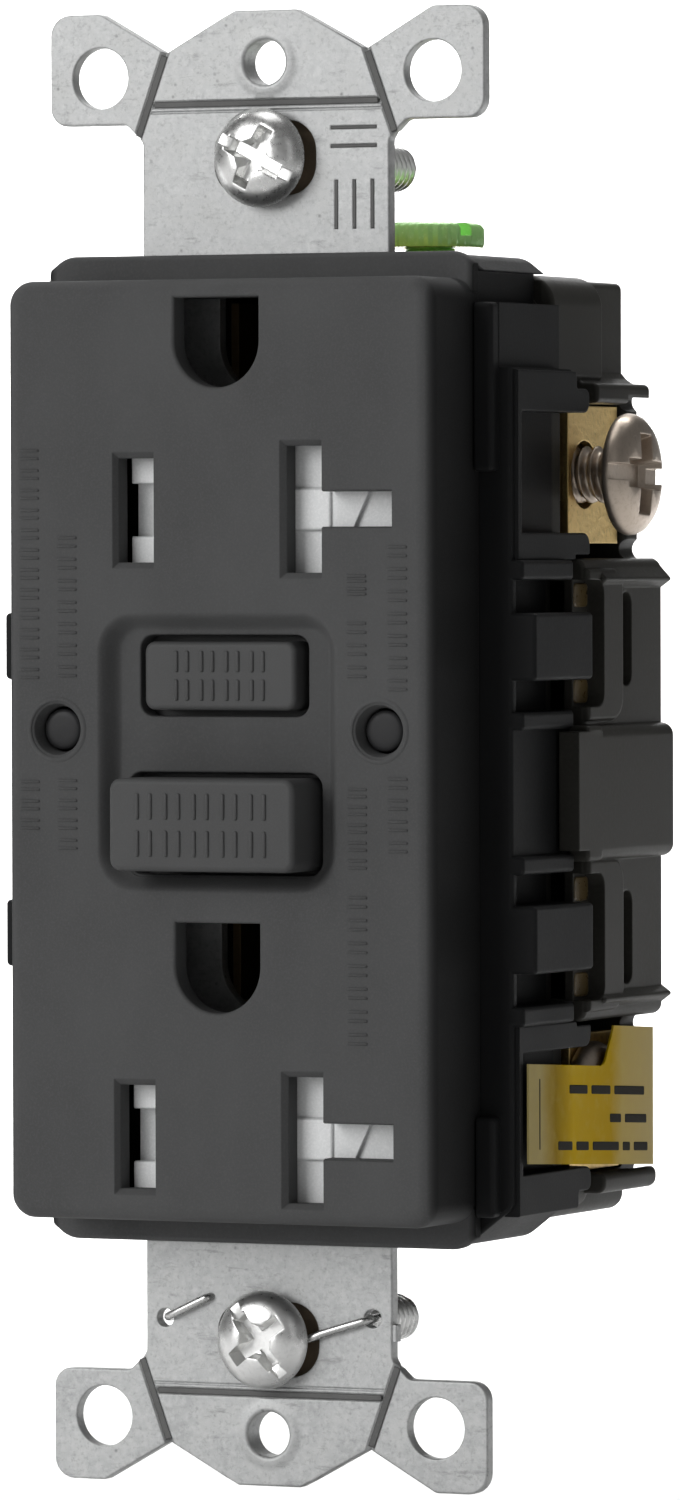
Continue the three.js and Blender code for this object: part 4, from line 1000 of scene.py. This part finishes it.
def back_cover():
    front, rear, wall = BACK_FRONT, BACK_REAR, 1.6
    mid = 2 * BAY_EDGE - 0.4
    cover = thing("back_shell", slab(rounded_rect(0, 0, 34.4, 67.0, 4.2, 10), front, 11.6, 0.2, 0.3))
    band = [(17.4, 25.9, 0.6), (17.4, 33.5, 2.2), (-17.4, 33.5, 2.2), (-17.4, 25.9, 0.6)]
    keel = [(-17.6, -30.0), (-17.6, -32.6, 1.6), (-11.5, -34.6, 6), (11.5, -34.6, 6),
            (17.6, -32.6, 1.6), (17.6, -30.0)]
    added = [
        slab(rounded_rect(0, 0, 2 * CORE_HALF_W, 66.4, 0.6), front, rear, 0.2, 0.4),
        slab(rounded_poly(band, 10), front + 0.02, 18.8, 0.35, 0.45),
        slab(rounded_rect(0, 28.8, 33.3, 8.8, 0.5), front, rear, 0.2, 0.4),
        slab(rounded_poly(keel, 10), front + 0.02, 15.5, 0.4, 0.5),
        slab(rounded_rect(0, -32.0, 33.3, 3.1, 1.2), front, rear, 0.2, 0.5),
        slab(rounded_rect(0, MIRROR_Z, 39.5, mid, 0.8), front, rear, 0.3, 0.5),
        slab(rounded_rect(0, -3.2, 41.4, 9.6, 0.9), front, rear, 0.35, 0.5),
    ]
    for side in SIDES:
        def mirrored(points):
            return points if side > 0 else [(-x, z, *r) for x, z, *r in points][::-1]
        knob = [(15.5, 24.4), (18.0, 24.4, 0.3), (18.8, 24.5, 0.35), (18.8, 25.9, 0.45),
                (17.6, 25.9, 0.5), (17.0, 26.3, 0.5), (16.2, 27.2), (15.5, 27.2)]
        foot = [(15.5, -31.9), (19.2, -31.9, 0.7), (19.2, -30.3, 0.55), (18.3, -30.4, 0.5),
                (17.6, -30.4, 0.4), (15.5, -30.4)]
        added += [slab(rounded_poly(mirrored(points), 5), 14.5, rear, 0.25, 0.3)
                  for points in (knob, foot)]
        for sign, brow in ((1, 19.15), (-1, 18.5)):
            ledge = [(17.5, MIRROR_Z + sign * 14.3), (19.7, MIRROR_Z + sign * 14.3),
                     (20.55, MIRROR_Z + sign * 14.9, 0.2), (brow, MIRROR_Z + sign * 16.4, 0.3),
                     (17.5, MIRROR_Z + sign * 16.4)][::sign]
            added.append(slab(rounded_poly(mirrored(ledge), 5), 11.9, rear, 0.3, 0.3))
            # the raised loop that holds a snap block
            y0, y1 = front + 0.05, 16.1
            z0, z1 = sorted((MIRROR_Z + sign * 4.9, MIRROR_Z + sign * 15.7))
            loop = [(y0, z0), (y1, z0, 1.7), (y1, z1, 1.7), (y0, z1)]
            added.append(side_plate(side, rounded_poly(loop, 7), 19.0, 20.1, 0.3))
        added.append(side_box(side, 19.15, 20.7, 6.6, front + 1, -7.2, 1.2))
        # the web that closes each terminal bay towards the rear
        added += side_plates(side, WEB_Y, rear, heights(15.9, 28.4), 0.3, 11.5, 17.9, 0.5)
        added.append(side_plate(side, rounded_rect(9.6, -3.2, 2.6, 9.6, 0.4), 19.15, 20.7, 0.3))
    removed = [
        slab(rounded_rect(0, 0, 31.2, 63.8, 3.0), front - 1, front + 0.6),
        slab(rounded_rect(0, 0, 21.4, 63.8, 0.6), front - 1, rear - wall),
        block(-15.05, 15.05, front - 1, rear - wall, 26.0, 31.9),
        block(-18.15, 18.15, front - 1, rear - wall, MIRROR_Z - mid / 2 + wall,
              MIRROR_Z + mid / 2 - wall),
    ]
    for side in SIDES:
        for z0, z1 in heights(5.9, 14.9):
            window = [(front - 1, z0), (12.5, z0, 1.0), (12.5, z1, 1.0), (front - 1, z1)]
            removed.append(side_plate(side, rounded_poly(window, 6), 18.8, 22, 0))
        removed += side_plates(side, 16.25, 18.25, heights(7.3, 14.0), 0.9, 19.0, 22, 0)
        for z0, z1 in heights(19.6, 25.1):
            removed.append(side_box(side, 9, 13, 20.1, 21.4, z0, z1))
        for kind in ("line", "load"):
            z = spot(f"{kind}_neutral_terminal")[2].z
            # wire holes, and the notches at the web's ends
            removed += [peg(r, 20, rear + 1, side * x, z + dz, 24)
                        for r, x, reach in ((1.2, 15.2, 2.3), (0.75, 18.1, 5.3))
                        for dz in (-reach, reach)]
        for node, r in (("assembly_screw_1", 2.45), ("assembly_screw_3", 2.2)):
            centre = spot(node)[2]
            removed.append(peg(r, rear - 1.5, rear + 1, side * centre.x, centre.z))
    # the rear face: a sunk panel and a strip gauge
    removed += [loft(rounded_rect(0, 9.5, 19.0, 21.0, 1.6),
                     [(0.5, rear + 0.3), (0.2, rear), (0, rear - 0.45)]),
                slab(rounded_rect(0, -5.2, 11.1, 1.1, 0.5), rear - 0.7, rear + 1),
                slab(rounded_rect(-5.0, -7.6, 1.1, 2.4, 0.5), rear - 0.7, rear + 1)]
    # room for the ground screw
    centre = spot("ground_screw")[2]
    removed.append(skin([(circle(centre.x, centre.y, 2.8), z) for z in (30, 36)], "z"))
    add(cover, *added)
    cut(cover, *removed)
    # the lip that closes the joint with the front housing
    lip = thing("lip", slab(rounded_rect(0, 0, 33.6, 66.2, 3.8, 10), HOUSING_REAR + 0.03, front + 0.7))
    cut(lip, slab(rounded_rect(0, 0, 31.4, 64.0, 3.0), front - 1, front + 1))
    add(cover, lip)
    soften(cover, 0.1, 2, 50)
    # dark brown patches on the floor at each window's ends: painted shade
    inner = [side_plate(side, rounded_rect(11.15, MIRROR_Z + sign * h, 2.4, 1.7, 0.4), 18.6, 18.9, 0.1)
             for side in SIDES for sign in (1, -1) for h in (7.0, 13.8)]
    piece(thing("back_window_end_shade", *inner), looks["window_shade_brown"], "smoke_plastic")
    piece(cover, looks["back"], "smoke_plastic", "back_cover", angle=30)


back_cover()


# ---- label ----

LABEL_RISE, LABEL_SLOPE = 0.0007, 0.058


def tilt(obj):
    """Slopes the label and its marks, which stand a little crooked."""
    for corner in obj.data.vertices:
        corner.co.z += LABEL_RISE - LABEL_SLOPE * corner.co.y


def label():
    low, high, _ = spot("load_terminal_label")
    x, y, bend, t, front = high.x, high.y, 2.2, 0.15, low.y
    outer, inner = [], []
    for points, d in ((outer, 0), (inner, t)):
        points.append((-x + d, front))
        for a in turn(pi, pi / 2, 8):
            points.append((-x + bend + (bend - d) * cos(a), y - bend + (bend - d) * sin(a)))
        for a in turn(pi / 2, 0, 8):
            points.append((x - bend + (bend - d) * cos(a), y - bend + (bend - d) * sin(a)))
        points.append((x - d, front))
    outline = outer + inner[::-1]
    film = thing("label_film", skin([(outline, low.z), (outline, high.z + 0.5)], "z"))
    step = rounded_poly([(-2, -22.6), (13.6, -22.6, 1.2), (15.3, -19.9, 1.2), (15.9, -18), (-2, -18)], 8)
    cut(film, skin([(step, -25), (step, 25)], "x"))
    tilt(film)
    piece(film, label_look(), "yellow_label", "load_terminal_label", angle=40)
    marks = []
    for z, words in ((-24.3, ((7.4, 10.6), (11.3, 14.7), (15.4, 20.8))),
                     (-26.3, ((14.6, 16.6), (17.3, 21.2))),
                     (-28.3, ((5.4, 7.9), (8.6, 10.8), (11.5, 16.2), (16.9, 18.2), (18.9, 21.4)))):
        for a, b in words:
            marks += [side_plate(side, rounded_rect((a + b) / 2, z, b - a, 0.62, 0.12, 2), x - 0.02,
                                 x + 0.015, 0) for side in SIDES]
    marks += [side_plate(side, rounded_rect(2.2, -26.1, 0.16, 5.0, 0.07, 2), x - 0.02, x + 0.015, 0)
              for side in SIDES]
    ink = thing("label_marks", *marks)
    tilt(ink)
    piece(ink, looks["ink"], "yellow_label")


def label_look():
    """Yellow film: paler at its free edge and past its step, deepest where it lies on brass."""
    look = Look("yellow_film", Specular_IOR_Level=0.03, IOR=1.4)
    wobble = look.math("MULTIPLY", look.noise(2.5, 3), 0.0012)
    along = look.math("ADD", look.coordinate("Y"), wobble)
    at = look.span(along, 0, 1, 0.0, 0.0242)
    tone = look.ramp(at, (0.12, (0.36, 0.29, 0.12)), (0.17, (0.33, 0.24, 0.06)),
                     (0.23, (0.26, 0.165, 0.003)), (0.36, (0.50, 0.33, 0.003)),
                     (0.64, (0.42, 0.27, 0.003)), (0.72, (0.44, 0.33, 0.10)),
                     (0.95, (0.43, 0.34, 0.15)))
    tone = look.fleck(tone, look.noise(1.1, 4), 0.18, 0.5, 0.75, (0.52, 0.42, 0.12))
    rough = look.span(look.noise(3.0, 3), 0.4, 0.55, 0.3, 0.7)
    normal = look.bump(look.noise(4.0, 2), 0.05, 0.6)
    return look.done(tone, rough, normal)


label()


# ---- camera, light and stage ----

AZIMUTH, ELEVATION, ROLL = radians(24.89), radians(1.16), radians(-0.153)
AIM = Vector((0.00467, 0.00117, -0.00007))
DISTANCE = 0.6835

back = Vector((sin(AZIMUTH) * cos(ELEVATION), -cos(AZIMUTH) * cos(ELEVATION),
               sin(ELEVATION)))
level_right = Vector((cos(AZIMUTH), sin(AZIMUTH), 0))
level_back = Vector((sin(AZIMUTH), -cos(AZIMUTH), 0))
plumb = back.cross(level_right)
right = cos(ROLL) * level_right + sin(ROLL) * plumb
up = -sin(ROLL) * level_right + cos(ROLL) * plumb
camera = bpy.data.objects.new("camera", bpy.data.cameras.new("camera"))
bpy.context.scene.collection.objects.link(camera)
camera.matrix_world = Matrix.Translation(AIM + back * DISTANCE) @ Matrix(
    (right, up, back)).transposed().to_4x4()
camera.data.sensor_width = 36
camera.data.lens = 232.5
camera.data.clip_start = 0.01
camera.data.clip_end = 20
bpy.context.scene.camera = camera


def across(x, behind, z):
    """A place x to the camera's right of the aim, behind it by so much, at height z."""
    return level_right * x - level_back * behind + Vector((0, 0, z))


floor_z = cad_box[0].z - 0.006
LIFT = 0.00005                        # the paper lies on the floor


def paper_look():
    paper = Look("pale_paper", Roughness=0.9)
    tone = paper.ramp(paper.noise(60, 2), (0.4, (0.86, 0.86, 0.86)), (0.6, (0.88, 0.88, 0.88)))
    return paper.done(tone, paper.span(paper.noise(9, 3), 0.85, 0.95),
                      paper.bump(paper.noise(0.8, 3), 0.02))


def stage_sheet(name, half_width, sweep):
    mesh = bpy.data.meshes.new(name)
    mesh.from_pydata([across(x, behind, z) for behind, z in sweep for x in (-half_width, half_width)],
                     [], [(2 * i, 2 * i + 1, 2 * i + 3, 2 * i + 2) for i in range(len(sweep) - 1)])
    sheet = bpy.data.objects.new(name, mesh)
    bpy.context.scene.collection.objects.link(sheet)
    sheet.data.materials.append(paper_look())
    return sheet


stage_sheet("floor", 3.0, [(-3.0, floor_z), (3.0, floor_z)])
stage_sheet("paper_sweep", 0.42, [(0.5, floor_z + LIFT)] + [
    (1.1 + 0.3 * sin(a), floor_z + LIFT + 0.3 * (1 - cos(a)))
    for a in turn(0, pi / 2, 12)] + [(1.4, 0.9)]).data.shade_smooth()


def softbox(name, place, target, size, power):
    lamp = bpy.data.objects.new(name, bpy.data.lights.new(name, "AREA"))
    lamp.data.shape = "RECTANGLE"
    lamp.data.size, lamp.data.size_y = size
    lamp.data.energy = power
    lamp.location = place
    lamp.rotation_mode = "QUATERNION"
    lamp.rotation_quaternion = (Vector(target) - Vector(place)).to_track_quat("-Z", "Y")
    bpy.context.scene.collection.objects.link(lamp)


softbox("key", (-0.8, -1.4, 0.6), (0, 0, 0), (1.1, 1.1), 17.3)
softbox("fill", (0.75, -0.75, 0.25), (0, 0, 0), (0.3, 0.8), 0.3)
softbox("top", (-0.1, -0.1, 1.1), (0, 0, 0), (0.6, 0.6), 2.2)
softbox("paper_light", across(0, 0.45, 0.75), across(0, 1.3, 0.0), (0.9, 0.5), 24)

world = bpy.data.worlds.new("studio")
world.use_nodes = True
world.node_tree.nodes["Background"].inputs["Color"].default_value = (1, 1, 1, 1)
world.node_tree.nodes["Background"].inputs["Strength"].default_value = 0.16
bpy.context.scene.world = world
bpy.context.scene.view_settings.view_transform = "Standard"


# ---- CAD nodes that keep their own shape ----

TERMINALS = [f"{a}_{b}" for a in ("line", "load") for b in ("hot", "neutral")]
CARRIED = {
    "housing": ["separator"],
    "spring": ["reset_spring", "shutter_spring_upper", "shutter_spring_lower", "plunger_spring"],
    "zinc": ["reset_pin", *[f"assembly_screw_{i}" for i in (1, 2, 3, 4)]],
    # the ground contacts are darkened: painted shade deep in the sockets
    "shade_dark_brass": ["ground_contact_upper", "ground_contact_lower"],
    "brass": ["ground_terminal", "hot_contact_strip", "neutral_contact_strip", "test_contact",
              *[f"{name}_terminal" for name in TERMINALS]],
    "steel": ["solenoid_plunger", "latch_plate", *[f"{name}_clamp_plate" for name in TERMINALS]],
    "copper": ["line_arm_hot", "line_arm_neutral", "line_busbar_hot", "line_busbar_neutral",
               "solenoid_coil"],
    "board": ["circuit_board"],
    "ferrite": ["sense_toroid_front", "sense_toroid_rear"],
    "nylon": ["solenoid_bobbin", "latch_block"],
    "fibre": ["screw_retainer_upper", "screw_retainer_lower"],
    "blue": ["surge_varistor"],
    "sleeve": ["smoothing_capacitor", "control_chip"],
}

for look, nodes in CARRIED.items():
    for node in nodes:
        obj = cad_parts[node]
        obj.data.materials.clear()
        obj.data.materials.append(looks[look])
